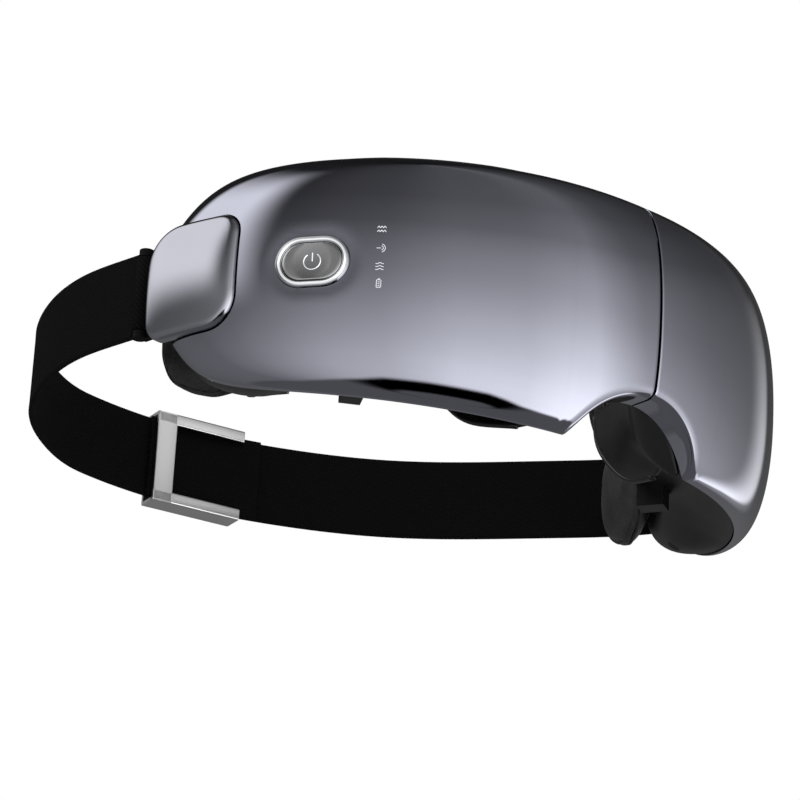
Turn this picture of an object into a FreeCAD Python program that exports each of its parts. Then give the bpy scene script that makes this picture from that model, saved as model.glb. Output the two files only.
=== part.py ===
import FreeCAD, Part
import math
import os
from FreeCAD import Vector

# Eye massager mask in millimetres. +Z is up, the front faces -Y and +X is the wearer's left.
# The origin is on the axis of the centre fold, at the strap's mid-height.
# Every half is designed on the +X side; the wearer's right half is its mirror image.
# "arc" is the distance along the front surface from the centre seam, "depth" is measured
# inwards from that surface, towards the wearer.

# Wrapped shell
SHELL_RADIUS = 104.6
AXIS_DEPTH = 12.0
HALF_ARC = 153.4
EDGE_BASE_Z = -1.5
TOP_HEIGHT = 33.97
TOP_SWELL = 2.1
TOP_DROP = 1.7
TOP_TAPER_POWER = 12.5
BOTTOM_HEIGHT = 39.73
BOTTOM_RISE_LINEAR = 1.07
BOTTOM_RISE_SQUARE = 12.31
BOTTOM_TAPER_POWER = 14.0
CROWN_POWER = 2.2
COVER_DEPTH = 10.5
COVER_WALL = 2.0
SEAM_GAP = 0.8
COVER_END_ARC = 150.0
COVER_STATIONS = [18.0, 40.0, 62.0, 84.0, 104.0, 120.0, 132.0, 141.0, 147.0]

# Nose arch
ARCH_RADIUS = 24.6
ARCH_CENTRE_Z = -50.9
ARCH_LIP = 2.0

# Centre fold
PIN_RADIUS = 1.5
KNUCKLE_RADIUS = 3.6
KNUCKLE_CLEARANCE = 0.04
HINGE_BOTTOM = -17.0
HINGE_SPLIT_LOW = -3.0
HINGE_SPLIT_HIGH = 12.0
HINGE_TOP = 26.0
KNUCKLE_GAP = 0.4
LEAF_LENGTH = 24.0
LEAF_THICK = 1.6
HINGE_POCKET_RADIUS = 5.0

# Rear housing: rear wall points in plan, the front arc they face, the wall's top and bottom, and
# how far the underside has risen to that bottom where its section turns
HOUSING_GAP = 0.3
HOUSING_WALL = 1.6
HOUSING_STEP = 0.5
HOUSING_TURN = 0.62
HOUSING_TOP_FALL = 0.45
HOUSING_RIBS = [
    # (front arc, rear x, rear y, rear top z, rear bottom z, underside rise)
    (17.0, 29.5, 37.5, 16.0, -21.0, 0.85),
    (48.0, 44.0, 43.5, 21.0, -21.0, 0.85),
    (82.0, 60.5, 52.0, 22.0, -20.5, 0.80),
    (112.0, 73.5, 66.0, 20.0, -20.0, 0.28),
    (140.0, 83.5, 80.5, 15.0, -17.0, 0.30),
]

# Face pad: plan points of its rear (skin side), with top and bottom
PAD_GAP = 0.25
PAD_ROUND = 3.0
PAD_RIBS = [
    # (front x, front y, rear x, rear y, top z, bottom z)
    (29.0, 38.0, 30.0, 47.5, 12.0, -20.0),
    (44.0, 43.9, 41.0, 52.5, 19.0, -20.5),
    (60.2, 52.4, 54.0, 59.5, 20.5, -19.5),
    (73.1, 66.3, 65.5, 71.5, 19.0, -20.0),
    (82.9, 81.0, 74.5, 85.5, 15.0, -23.0),
    (88.0, 95.0, 78.5, 98.5, 8.0, -17.5),
]

# Nose wing: plan lines of its two faces, and the side view of its lower edge
WING_TOP = 12.0
WING_BOTTOM = -35.0
WING_FRONT_Y = -2.0
WING_REAR_Y = 46.0
WING_OUTER_FACE = [(14.2, 1.4), (20.0, 21.0), (28.4, 44.0)]
WING_INNER_FACE = [(27.0, 44.6), (17.8, 22.0), (12.4, 2.0)]
WING_LOWER_EDGE = [(-2.0, -22.0), (14.0, -31.0), (27.0, -33.5), (38.0, -28.0), (46.0, -13.0)]

# Bridge gusset and ribbon cable behind the centre fold
GUSSET_REACH = 11.6
GUSSET_END_Y = 4.6
GUSSET_MIDDLE_Y = 6.4
GUSSET_THICK = 1.4
GUSSET_LOW = -20.0
GUSSET_HIGH = 26.0
CABLE_LENGTH = 22.0
CABLE_THICK = 0.2
CABLE_WIDTH = 6.0
CABLE_Y = 4.0
CABLE_LOW = 14.0

# Eye opening, airbag and heating film
EYE_X = 46.0
EYE_Y = 50.0
EYE_Z = -1.0
EYE_TURN = 20.0
EYE_WIDTH = 30.0
EYE_HEIGHT = 24.0
AIRBAG_THICK = 4.5
FILM_THICK = 0.8

# Temple cover and strap anchor
TAB_ARC = 138.0
TAB_LENGTH = 30.0
TAB_TOP = 16.0
TAB_BOTTOM = -17.0
TAB_CORNER = 7.0
TAB_PROUD = 2.6
TAB_EDGE_PROUD = 0.6
TAB_THICK = 5.4
TAB_CLEARANCE = 0.4
ANCHOR_ARC = 141.0
ANCHOR_DEPTH = 3.8
ANCHOR_THICK = 1.8
ANCHOR_LENGTH = 22.0
BAR_X = 101.5
BAR_Y = 87.5
BAR_RADIUS = 1.2
ARM_THICK = 2.0
ARM_LENGTH = 9.0
ARM_EYE_RADIUS = 2.0
ARM_INNER_Z = 11.2

# Screws
SCREW_RADIUS = 1.0
SCREW_CLEARANCE = 0.05
SCREW_HEAD_RADIUS = 1.9
SCREW_HEAD_HEIGHT = 1.2
LEAF_SCREW_HEIGHTS = [-1.0, 10.0]
LEAF_SCREW_REACH = 5.0
ANCHOR_SCREW_HEIGHTS = [-9.0, 9.0]
ANCHOR_SCREW_REACH = 4.0

# Strap
STRAP_WIDTH = 25.4
STRAP_THICK = 1.6
LOOP_THICK = 1.1
LOOP_CLEARANCE = 0.1
OPEN_LOOP_CLEARANCE = 0.5
LOOP_HALF_WIDTH = 10.9
NOTCH_RADIUS = 2.6
OPEN_NOTCH_RADIUS = 3.0
LINK_GAP = 1.4
STRAP_RIGHT_POINTS = [(-103.8, 111.0), (-97.5, 140.0), (-87.0, 159.0), (-71.0, 174.5)]
STRAP_JOINT_2 = (-50.0, 184.8)
STRAP_REAR_MIDDLE = (-17.0, 185.6)
STRAP_JOINT_3 = (15.0, 177.2)
STRAP_LEFT_POINTS = [(46.0, 159.5), (80.0, 122.0)]
STRAP_JOINT_1_SHARE = 0.47
STRAP_JOINT_4_SHARE = 0.46
TAIL_THICK = 1.2
TAIL_GAP = 0.3
TAIL_START = 0.36
TAIL_END = 0.93

# Strap adjuster
GLIDE_LENGTH = 29.5
GLIDE_SHARE = 0.61
GLIDE_SHEET = 1.0
GLIDE_BAR_WIDTH = 6.5
GLIDE_RAIL_Z = 13.5
GLIDE_LIP = 2.6
GLIDE_INNER = 3.7
GLIDE_OUTER = 2.1

# Power button
BUTTON_ARC = 100.9
BUTTON_Z = -1.2
BEZEL_WIDTH = 20.6
BEZEL_HEIGHT = 14.7
BEZEL_RING = 1.8
BEZEL_PROUD = 0.5
BEZEL_DEPTH = 4.0
CAP_CLEARANCE = 0.15
CAP_DEPTH = 2.6
STEM_RADIUS = 1.6
STEM_END = 4.6
PLUNGER_RADIUS = 1.1
PLUNGER_LENGTH = 1.8
SWITCH_FACE = 5.8

# Charging socket
PORT_LENGTH = 8.94
PORT_WIDTH = 3.16
PORT_HEIGHT = 7.3
PORT_SHEET = 0.3
PORT_LOW = -30.6
PORT_X = 78.5
PORT_Y = 56.5
PORT_TURN = 60.0

# Pad clip under the cheek
CLIP_X = 56.5
CLIP_Y = 49.5
CLIP_TURN = 30.0
CLIP_WIDTH = 6.0
CLIP_LOW = -27.5
CLIP_SEAT = [(-4.0, -21.6), (-0.5, -20.8), (0.4, -20.1), (4.0, -18.9)]

# Indicator symbols
ICON_ARC = 82.4
ICON_HEIGHTS = [7.9, 2.2, -3.1, -8.0]
ICON_SIZE = 2.5
ICON_DEPTH = 0.5

OUT = "parts"


def spline(points):
    curve = Part.BSplineCurve()
    curve.interpolate(points)
    return curve.toShape()


def arc_angle(arc):
    return arc / SHELL_RADIUS


def arc_point(arc, depth, z):
    """A point of the mask, from its distance along the front surface and its depth behind it."""
    angle = arc_angle(arc)
    reach = SHELL_RADIUS - depth
    return Vector(reach * math.sin(angle), SHELL_RADIUS - reach * math.cos(angle) - AXIS_DEPTH, z)


def arc_frame(arc, depth, z):
    """Placement whose X runs along the front surface, Y inwards and Z up."""
    angle = arc_angle(arc)
    rotation = FreeCAD.Rotation(Vector(0, 0, 1), math.degrees(angle))
    return FreeCAD.Placement(arc_point(arc, depth, z), rotation)


def top_edge(arc):
    share = abs(arc) / HALF_ARC
    height = TOP_HEIGHT + TOP_SWELL * share - TOP_DROP * share ** 2
    return EDGE_BASE_Z + height * math.sqrt(1 - share ** TOP_TAPER_POWER)


def bottom_edge(arc):
    share = abs(arc) / HALF_ARC
    height = BOTTOM_HEIGHT - BOTTOM_RISE_LINEAR * share - BOTTOM_RISE_SQUARE * share ** 2
    return EDGE_BASE_Z - height * math.sqrt(1 - share ** BOTTOM_TAPER_POWER)


def crown_points(arc, inset, steps=16):
    """The crowned front of one upright section, from its bottom edge to its top edge."""
    top = top_edge(arc) - inset
    bottom = bottom_edge(arc) + inset
    middle = (top + bottom) / 2
    half = (top - bottom) / 2
    points = []
    for step in range(steps + 1):
        angle = math.pi * (step / steps - 0.5)
        rise = math.copysign(abs(math.sin(angle)) ** (2 / CROWN_POWER), angle)
        sink = 1 - abs(math.cos(angle)) ** (2 / CROWN_POWER)
        points.append(arc_point(arc, inset + (COVER_DEPTH - inset) * sink, middle + half * rise))
    return points


def cover_section(arc, inset, back_depth):
    front = crown_points(arc, inset)
    low = arc_point(arc, back_depth, front[0].z)
    high = arc_point(arc, back_depth, front[-1].z)
    edges = [spline(front)]
    if back_depth > COVER_DEPTH:
        edges.append(Part.makeLine(front[-1], high))
        edges.append(Part.makeLine(high, low))
        edges.append(Part.makeLine(low, front[0]))
    else:
        edges.append(Part.makeLine(front[-1], front[0]))
    return Part.Wire(edges)


def cover_body(first_arc, last_arc, inset, back_depth):
    arcs = [first_arc] + COVER_STATIONS + [last_arc]
    return Part.makeLoft([cover_section(a, inset, back_depth) for a in arcs], True, False)


def stadium(width, height, depth_from, depth_to, placement):
    """An oval bar with round ends; width and height across, running inwards."""
    radius = height / 2
    half = width / 2 - radius
    corners = [Vector(half, 0, radius), Vector(-half, 0, radius),
               Vector(-half, 0, -radius), Vector(half, 0, -radius)]
    left = Part.Arc(corners[1], Vector(-half - radius, 0, 0), corners[2]).toShape()
    right = Part.Arc(corners[3], Vector(half + radius, 0, 0), corners[0]).toShape()
    outline = Part.Wire([Part.makeLine(corners[0], corners[1]), left,
                         Part.makeLine(corners[2], corners[3]), right])
    face = Part.Face(outline)
    face.translate(Vector(0, depth_from, 0))
    bar = face.extrude(Vector(0, depth_to - depth_from, 0))
    bar.Placement = placement
    return bar


def rounded_plate(width, low, high, corner, depth_from, depth_to, placement):
    """A plate with rounded corners, width along the surface, running inwards."""
    plate = Part.makeBox(width, depth_to - depth_from, high - low, Vector(-width / 2, depth_from, low))
    upright = [e for e in plate.Edges if abs(e.tangentAt(e.FirstParameter).y) > 0.9]
    plate = plate.makeFillet(corner, upright)
    plate.Placement = placement
    return plate


def block(length, depth, height, placement):
    box = Part.makeBox(length, depth, height, Vector(-length / 2, 0, -height / 2))
    box.Placement = placement
    return box


def upright_cylinder(radius, x, y, low, high):
    return Part.makeCylinder(radius, high - low, Vector(x, y, low))


def inward_cylinder(radius, depth_from, depth_to, placement):
    rod = Part.makeCylinder(radius, depth_to - depth_from, Vector(0, depth_from, 0), Vector(0, 1, 0))
    rod.Placement = placement
    return rod


def along_cylinder(radius, start, end, placement):
    rod = Part.makeCylinder(radius, end - start, Vector(start, 0, 0), Vector(1, 0, 0))
    rod.Placement = placement
    return rod


def mirrored(shape):
    return shape.mirror(Vector(0, 0, 0), Vector(1, 0, 0))


def arch_cylinder(radius):
    return Part.makeCylinder(radius, 80, Vector(0, -30, ARCH_CENTRE_Z), Vector(0, 1, 0))


def tab_placement():
    return arc_frame(TAB_ARC, 0, 0)


def tab_prism(clearance, depth_from, depth_to):
    return rounded_plate(TAB_LENGTH + 2 * clearance, TAB_BOTTOM - clearance, TAB_TOP + clearance,
                         TAB_CORNER + clearance, depth_from, depth_to, tab_placement())


def front_cover():
    outer = cover_body(SEAM_GAP / 2, COVER_END_ARC, 0, COVER_DEPTH)
    hollow = cover_body(SEAM_GAP / 2 + COVER_WALL, COVER_END_ARC + 1, COVER_WALL, COVER_DEPTH + 4)
    hollow = hollow.cut(arch_cylinder(ARCH_RADIUS + ARCH_LIP))
    cover = outer.cut(hollow)
    cover = cover.cut(arch_cylinder(ARCH_RADIUS))
    cover = cover.cut(upright_cylinder(HINGE_POCKET_RADIUS, 0, 0, -60, 28))
    return cover.cut(tab_prism(TAB_CLEARANCE, -8, COVER_DEPTH + 8))


def housing_section(rib, inset, front_extra):
    """One upright section of the rear housing, in the plane through its front and rear points."""
    arc, rear_x, rear_y, rear_top, rear_bottom, rise = rib
    front = arc_point(arc, COVER_DEPTH + HOUSING_GAP, 0)
    rear = Vector(rear_x, rear_y, 0)
    run = (rear - front).normalize()
    front_top = top_edge(arc) - HOUSING_STEP - inset
    front_bottom = bottom_edge(arc) + HOUSING_STEP + inset
    start = front - run * front_extra
    end = rear - run * inset
    length = (end - start).Length

    def place(share, z):
        return start + run * (length * share) + Vector(0, 0, z)

    top = rear_top - inset
    bottom = rear_bottom + inset
    turn_top = front_top + (top - front_top) * HOUSING_TOP_FALL
    turn_bottom = front_bottom + (bottom - front_bottom) * rise
    upper = spline([place(0, front_top), place(HOUSING_TURN, turn_top), place(1, top)])
    lower = spline([place(1, bottom), place(HOUSING_TURN, turn_bottom), place(0, front_bottom)])
    return Part.Wire([upper, Part.makeLine(place(1, top), place(1, bottom)), lower,
                      Part.makeLine(place(0, front_bottom), place(0, front_top))])


def inner_ribs():
    """The housing's ribs moved in from both of its ends by one wall."""
    ribs = [list(rib) for rib in HOUSING_RIBS]
    ribs[0][0] += 2 * HOUSING_WALL
    ribs[0][1] += 2 * HOUSING_WALL
    ribs[0][2] += HOUSING_WALL / 2
    ribs[-1][0] -= 2 * HOUSING_WALL
    ribs[-1][1] -= HOUSING_WALL / 2
    ribs[-1][2] -= 2 * HOUSING_WALL
    return ribs


def rear_housing():
    outer = Part.makeLoft([housing_section(r, 0, 0) for r in HOUSING_RIBS], True, False)
    hollow = Part.makeLoft([housing_section(r, HOUSING_WALL, 3) for r in inner_ribs()], True, False)
    housing = outer.cut(hollow)
    return housing.cut(arch_cylinder(ARCH_RADIUS + 0.3))


def pad_section(rib):
    front_x, front_y, rear_x, rear_y, top, bottom = rib
    front = Vector(front_x, front_y, 0)
    rear = Vector(rear_x, rear_y, 0)
    run = (rear - front).normalize()
    front = front + run * PAD_GAP
    corners = [front + Vector(0, 0, bottom), rear + Vector(0, 0, bottom + PAD_ROUND),
               rear + Vector(0, 0, top - PAD_ROUND), front + Vector(0, 0, top)]
    return Part.makePolygon(corners + [corners[0]])


def eye_placement():
    rotation = FreeCAD.Rotation(Vector(0, 0, 1), EYE_TURN)
    return FreeCAD.Placement(Vector(EYE_X, EYE_Y, EYE_Z), rotation)


def face_pad():
    body = Part.makeLoft([pad_section(r) for r in PAD_RIBS], True, False)
    return body.cut(stadium(EYE_WIDTH, EYE_HEIGHT, -25, 25, eye_placement()))


def airbag():
    return stadium(EYE_WIDTH - 3, EYE_HEIGHT - 3, 0, AIRBAG_THICK, eye_placement())


def heating_film():
    return stadium(EYE_WIDTH - 4, EYE_HEIGHT - 4, AIRBAG_THICK + 0.2,
                   AIRBAG_THICK + 0.2 + FILM_THICK, eye_placement())


def nose_wing():
    """Soft shield on the nose side of the housing, swept from the arch back to the pad."""
    outer = [Vector(x, y, WING_BOTTOM) for x, y in WING_OUTER_FACE]
    inner = [Vector(x, y, WING_BOTTOM) for x, y in WING_INNER_FACE]
    outline = Part.Wire([spline(outer), Part.makeLine(outer[-1], inner[0]),
                         spline(inner), Part.makeLine(inner[-1], outer[0])])
    wall = Part.Face(outline).extrude(Vector(0, 0, WING_TOP - WING_BOTTOM))
    edge = [Vector(0, y, z) for y, z in WING_LOWER_EDGE]
    top_rear = Vector(0, WING_REAR_Y, WING_TOP)
    top_front = Vector(0, WING_FRONT_Y, WING_TOP)
    profile = Part.Wire([spline(edge), Part.makeLine(edge[-1], top_rear),
                         Part.makeLine(top_rear, top_front), Part.makeLine(top_front, edge[0])])
    return wall.common(Part.Face(profile).extrude(Vector(40, 0, 0)))


def temple_cover():
    """Raised glossy tab: a crowned band of the shell's arc, trimmed to a rounded square."""
    centre_y = SHELL_RADIUS - AXIS_DEPTH
    inner = SHELL_RADIUS - TAB_THICK + TAB_PROUD
    middle = (TAB_TOP + TAB_BOTTOM) / 2
    edge = SHELL_RADIUS + TAB_EDGE_PROUD
    low_inside = Vector(inner, centre_y, TAB_BOTTOM - 1)
    low_outside = Vector(SHELL_RADIUS, centre_y, TAB_BOTTOM - 1)
    low_edge = Vector(edge, centre_y, TAB_BOTTOM)
    crest = Vector(SHELL_RADIUS + TAB_PROUD, centre_y, middle)
    high_edge = Vector(edge, centre_y, TAB_TOP)
    high_inside = Vector(inner, centre_y, TAB_TOP)
    profile = Part.Wire([
        Part.makeLine(low_inside, low_outside),
        Part.makeLine(low_outside, low_edge),
        Part.Arc(low_edge, crest, high_edge).toShape(),
        Part.makeLine(high_edge, high_inside),
        Part.makeLine(high_inside, low_inside),
    ])
    band = Part.Face(profile).revolve(Vector(0, centre_y, 0), Vector(0, 0, 1), -30)
    rear = Part.Face(profile).revolve(Vector(0, centre_y, 0), Vector(0, 0, 1), 10)
    tab = band.fuse(rear).common(tab_prism(0, -8, 12)).removeSplitter()
    return tab.cut(screw_holes(anchor_screw_places(), ANCHOR_SCREW_REACH + SCREW_CLEARANCE))


def strap_anchor():
    """Plate under the temple cover, with two arms that carry the strap bar behind it."""
    reach = ARM_INNER_Z + ARM_THICK
    plate = block(ANCHOR_LENGTH, ANCHOR_THICK, 2 * reach, arc_frame(ANCHOR_ARC, ANCHOR_DEPTH, 0))
    bar_angle = math.pi / 2 - math.atan2(SHELL_RADIUS - AXIS_DEPTH - BAR_Y, BAR_X)
    arm_arc = SHELL_RADIUS * bar_angle - ARM_LENGTH / 2
    arms = []
    for side in (-1, 1):
        middle = side * (ARM_INNER_Z + ARM_THICK / 2)
        arms.append(block(ARM_LENGTH, ANCHOR_THICK, ARM_THICK, arc_frame(arm_arc, ANCHOR_DEPTH, middle)))
        arms.append(upright_cylinder(ARM_EYE_RADIUS, BAR_X, BAR_Y,
                                     middle - ARM_THICK / 2, middle + ARM_THICK / 2))
    bar = upright_cylinder(BAR_RADIUS, BAR_X, BAR_Y, -reach, reach)
    return plate.fuse(arms + [bar]).cut(screw_holes(anchor_screw_places(), ANCHOR_SCREW_REACH))


def hinge_bracket(spans):
    """Leaf and knuckles of one side of the centre fold, on the +X side."""
    leaf_y = -KNUCKLE_RADIUS + 0.2
    solid = None
    for low, high in spans:
        knuckle = upright_cylinder(KNUCKLE_RADIUS, 0, 0, low, high)
        leaf = Part.makeBox(LEAF_LENGTH, LEAF_THICK, high - low, Vector(0, leaf_y, low))
        both = knuckle.fuse(leaf)
        solid = both if solid is None else solid.fuse(both)
    low = min(s[0] for s in spans)
    high = max(s[1] for s in spans)
    spine = Part.makeBox(8, LEAF_THICK, high - low, Vector(LEAF_LENGTH - 8, leaf_y, low))
    solid = solid.fuse(spine).cut(screw_holes(leaf_screw_places(), LEAF_SCREW_REACH))
    return solid.cut(upright_cylinder(PIN_RADIUS + KNUCKLE_CLEARANCE, 0, 0, low - 1, high + 1))


def bridge_gusset():
    """Soft boot between the two housings, behind the hinge and over the nose."""
    ends = (-GUSSET_REACH, GUSSET_REACH)
    near = [Vector(ends[0], GUSSET_END_Y, GUSSET_LOW), Vector(0, GUSSET_MIDDLE_Y, GUSSET_LOW),
            Vector(ends[1], GUSSET_END_Y, GUSSET_LOW)]
    far = [point + Vector(0, GUSSET_THICK, 0) for point in near[::-1]]
    outline = Part.Wire([spline(near), Part.makeLine(near[-1], far[0]),
                         spline(far), Part.makeLine(far[-1], near[0])])
    return Part.Face(outline).extrude(Vector(0, 0, GUSSET_HIGH - GUSSET_LOW))


def strap_curves():
    """The strap's middle line in plan: right spline, rear arc and left spline."""
    joint_2 = Vector(*STRAP_JOINT_2, 0)
    joint_3 = Vector(*STRAP_JOINT_3, 0)
    rear = Part.Arc(joint_2, Vector(*STRAP_REAR_MIDDLE, 0), joint_3)
    flip = 1 if rear.tangent(rear.FirstParameter)[0].x > 0 else -1
    tangent_2 = rear.tangent(rear.FirstParameter)[0] * flip
    tangent_3 = rear.tangent(rear.LastParameter)[0] * flip
    right = Part.BSplineCurve()
    start = Vector(-BAR_X, BAR_Y, 0)
    right.interpolate(Points=[start] + [Vector(*p, 0) for p in STRAP_RIGHT_POINTS] + [joint_2],
                      InitialTangent=Vector(-0.1, 1, 0), FinalTangent=tangent_2)
    left = Part.BSplineCurve()
    end = Vector(BAR_X, BAR_Y, 0)
    left.interpolate(Points=[joint_3] + [Vector(*p, 0) for p in STRAP_LEFT_POINTS] + [end],
                     InitialTangent=tangent_3, FinalTangent=Vector(0.3, -1, 0))
    return right, rear, left


def line_points(curve, share_from, share_to, trim_from, trim_to, steps=12):
    """Points and side directions along part of a curve, by share of its length."""
    edge = curve.toShape()
    length = edge.Length
    low = length * share_from + trim_from
    high = length * share_to - trim_to
    points = []
    for step in range(steps + 1):
        reach = low + (high - low) * step / steps
        parameter = edge.getParameterByLength(reach)
        tangent = edge.tangentAt(parameter)
        if (edge.valueAt(edge.LastParameter) - edge.valueAt(edge.FirstParameter)).dot(tangent) < 0:
            tangent = tangent * -1
        side = Vector(-tangent.y, tangent.x, 0)
        points.append((edge.valueAt(parameter), side))
    return points


def ribbon(points, offset_from, offset_to):
    """An upright band along the points, between two offsets to their left."""
    near = [p + side * offset_from for p, side in points]
    far = [p + side * offset_to for p, side in points]
    outline = Part.Wire([spline(near), Part.makeLine(near[-1], far[-1]),
                         spline(far[::-1]), Part.makeLine(far[0], near[0])])
    face = Part.Face(outline)
    face.translate(Vector(0, 0, -STRAP_WIDTH / 2))
    return face.extrude(Vector(0, 0, STRAP_WIDTH))


def strap_end(body, x, clearance, notch_radius):
    """A strap length with its sewn loop round a bar, notched clear of the two arms."""
    inner = BAR_RADIUS + clearance
    loop = upright_cylinder(inner + LOOP_THICK, x, BAR_Y, -LOOP_HALF_WIDTH, LOOP_HALF_WIDTH)
    for low, high in ((-STRAP_WIDTH, -LOOP_HALF_WIDTH), (LOOP_HALF_WIDTH, STRAP_WIDTH)):
        body = body.cut(upright_cylinder(notch_radius, x, BAR_Y, low, high))
    return body.fuse(loop).cut(upright_cylinder(inner, x, BAR_Y, -STRAP_WIDTH, STRAP_WIDTH))


def strap_links():
    right, rear, left = strap_curves()
    half = STRAP_THICK / 2
    trim = LINK_GAP / 2
    first = ribbon(line_points(right, 0, STRAP_JOINT_1_SHARE, 0.5, trim), -half, half)
    second = ribbon(line_points(right, STRAP_JOINT_1_SHARE, 1, trim, trim), -half, half)
    third = ribbon(line_points(rear, 0, 1, trim, trim), -half, half)
    fourth = ribbon(line_points(left, 0, STRAP_JOINT_4_SHARE, trim, trim), -half, half)
    fifth = ribbon(line_points(left, STRAP_JOINT_4_SHARE, 1, trim, 0.5), -half, half)
    first = strap_end(first, -BAR_X, LOOP_CLEARANCE, NOTCH_RADIUS)
    fifth = strap_end(fifth, BAR_X, OPEN_LOOP_CLEARANCE, OPEN_NOTCH_RADIUS)
    return first, second, third, fourth, fifth


def strap_tail():
    """The doubled layer on the wearer's side of the rear length, held by the adjuster."""
    rear = strap_curves()[1]
    points = line_points(rear, TAIL_START, TAIL_END, 0, 0)
    inner_face = -(STRAP_THICK / 2 + TAIL_GAP)
    return ribbon(points, inner_face - TAIL_THICK, inner_face)


def tri_glide():
    """Adjuster frame: two folded rails joined by a bar on each side of the strap."""
    points = line_points(strap_curves()[1], 0, 1, 0, 0, 100)
    centre, side = points[int(GLIDE_SHARE * 100)]
    angle = math.degrees(math.atan2(side.y, side.x)) - 90
    rotation = FreeCAD.Rotation(Vector(0, 0, 1), angle)
    half = GLIDE_LENGTH / 2
    depth = GLIDE_INNER + GLIDE_OUTER + 2 * GLIDE_SHEET
    back = -GLIDE_INNER - GLIDE_SHEET
    pieces = []
    for sign in (-1, 1):
        rail_low = GLIDE_RAIL_Z if sign > 0 else -GLIDE_RAIL_Z - GLIDE_SHEET
        pieces.append(Part.makeBox(GLIDE_LENGTH, depth, GLIDE_SHEET, Vector(-half, back, rail_low)))
        lip_low = GLIDE_RAIL_Z - GLIDE_LIP if sign > 0 else -GLIDE_RAIL_Z - GLIDE_SHEET
        for lip_y in (back, GLIDE_OUTER):
            pieces.append(Part.makeBox(GLIDE_LENGTH, GLIDE_SHEET, GLIDE_LIP + GLIDE_SHEET,
                                       Vector(-half, lip_y, lip_low)))
    height = 2 * (GLIDE_RAIL_Z + GLIDE_SHEET)
    for bar_x, bar_y in ((-half, back), (half - GLIDE_BAR_WIDTH, GLIDE_OUTER)):
        pieces.append(Part.makeBox(GLIDE_BAR_WIDTH, GLIDE_SHEET, height, Vector(bar_x, bar_y, -height / 2)))
    frame = pieces[0].fuse(pieces[1:]).removeSplitter()
    frame.Placement = FreeCAD.Placement(centre, rotation)
    return frame


def button_placement():
    return arc_frame(BUTTON_ARC, 0, BUTTON_Z)


def button_bezel():
    place = button_placement()
    ring = stadium(BEZEL_WIDTH, BEZEL_HEIGHT, -BEZEL_PROUD, BEZEL_DEPTH, place)
    opening = 2 * BEZEL_RING
    return ring.cut(stadium(BEZEL_WIDTH - opening, BEZEL_HEIGHT - opening, -5, 10, place))


def power_button():
    place = button_placement()
    shrink = 2 * (BEZEL_RING + CAP_CLEARANCE)
    cap = stadium(BEZEL_WIDTH - shrink, BEZEL_HEIGHT - shrink, -0.2, CAP_DEPTH, place)
    return cap.fuse(inward_cylinder(STEM_RADIUS, CAP_DEPTH - 0.5, STEM_END, place))


def switch_plunger():
    start = STEM_END + 0.02
    return inward_cylinder(PLUNGER_RADIUS, start, start + PLUNGER_LENGTH, button_placement())


def switch_board():
    """Small board whose switch body holds the plunger in a blind hole."""
    body = block(6, 3.4, 6, arc_frame(BUTTON_ARC, SWITCH_FACE, BUTTON_Z))
    board = block(20, 1.2, 14, arc_frame(BUTTON_ARC, SWITCH_FACE + 3.4, BUTTON_Z))
    hole = inward_cylinder(PLUNGER_RADIUS + 0.06, 0, SWITCH_FACE + 2.2, button_placement())
    return body.fuse(board).cut(hole)


def indicator_cells():
    return [block(ICON_SIZE, COVER_WALL, ICON_SIZE, arc_frame(ICON_ARC, ICON_DEPTH, z))
            for z in ICON_HEIGHTS]


def indicator_windows():
    cells = [block(ICON_SIZE - 0.1, COVER_WALL, ICON_SIZE - 0.1, arc_frame(ICON_ARC, ICON_DEPTH, z))
             for z in ICON_HEIGHTS]
    return Part.makeCompound(cells)


def right_front_cover():
    cover = front_cover()
    gap = 0.2
    place = button_placement()
    cover = cover.cut(stadium(BEZEL_WIDTH + gap, BEZEL_HEIGHT + gap, -5, 9, place))
    for cell in indicator_cells():
        cover = cover.cut(cell)
    return cover


# Inside pieces: (arc, depth, z) of the middle of the front face
def vibration_motor():
    """Motor can with its shaft, lying along the shell."""
    place = arc_frame(66.0, 16.0, 22.0)
    can = along_cylinder(3.5, -8, 6, place)
    shaft = along_cylinder(0.75, 6, 13, place)
    return can.fuse(shaft)


def motor_weight():
    """Half-round weight on the motor's shaft."""
    place = arc_frame(66.0, 16.0, 22.0)
    disc = along_cylinder(3.2, 7.5, 12, place)
    low_half = Part.makeBox(6, 8, 4, Vector(6.8, -4, -5.0))
    low_half.Placement = place
    return disc.cut(low_half).cut(along_cylinder(0.80, 6, 14, place))


def speaker():
    return inward_cylinder(6.5, 0, 4.0, arc_frame(120.0, 5.0, 2.0))


def leaf_screw_places():
    """Where the hinge leaf is screwed down: beyond its spine's inner face, heads towards the wearer."""
    leaf_back = LEAF_THICK - KNUCKLE_RADIUS + 0.2
    turn = FreeCAD.Rotation(Vector(0, 0, 1), 0)
    return [FreeCAD.Placement(Vector(LEAF_LENGTH - 4, leaf_back, z), turn) for z in LEAF_SCREW_HEIGHTS]


def anchor_screw_places():
    return [arc_frame(ANCHOR_ARC, ANCHOR_DEPTH + ANCHOR_THICK, z) for z in ANCHOR_SCREW_HEIGHTS]


def screw_holes(places, reach):
    return [inward_cylinder(SCREW_RADIUS + SCREW_CLEARANCE, -reach, 1, place) for place in places]


def screws():
    """Two screws in the hinge leaf and two in the strap anchor, each with a flat head."""
    group = []
    sets = ((leaf_screw_places(), LEAF_SCREW_REACH), (anchor_screw_places(), ANCHOR_SCREW_REACH))
    for places, reach in sets:
        for place in places:
            shank = inward_cylinder(SCREW_RADIUS, -reach, 0, place)
            group.append(shank.fuse(inward_cylinder(SCREW_HEAD_RADIUS, 0, SCREW_HEAD_HEIGHT, place)))
    return Part.makeCompound(group)


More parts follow.
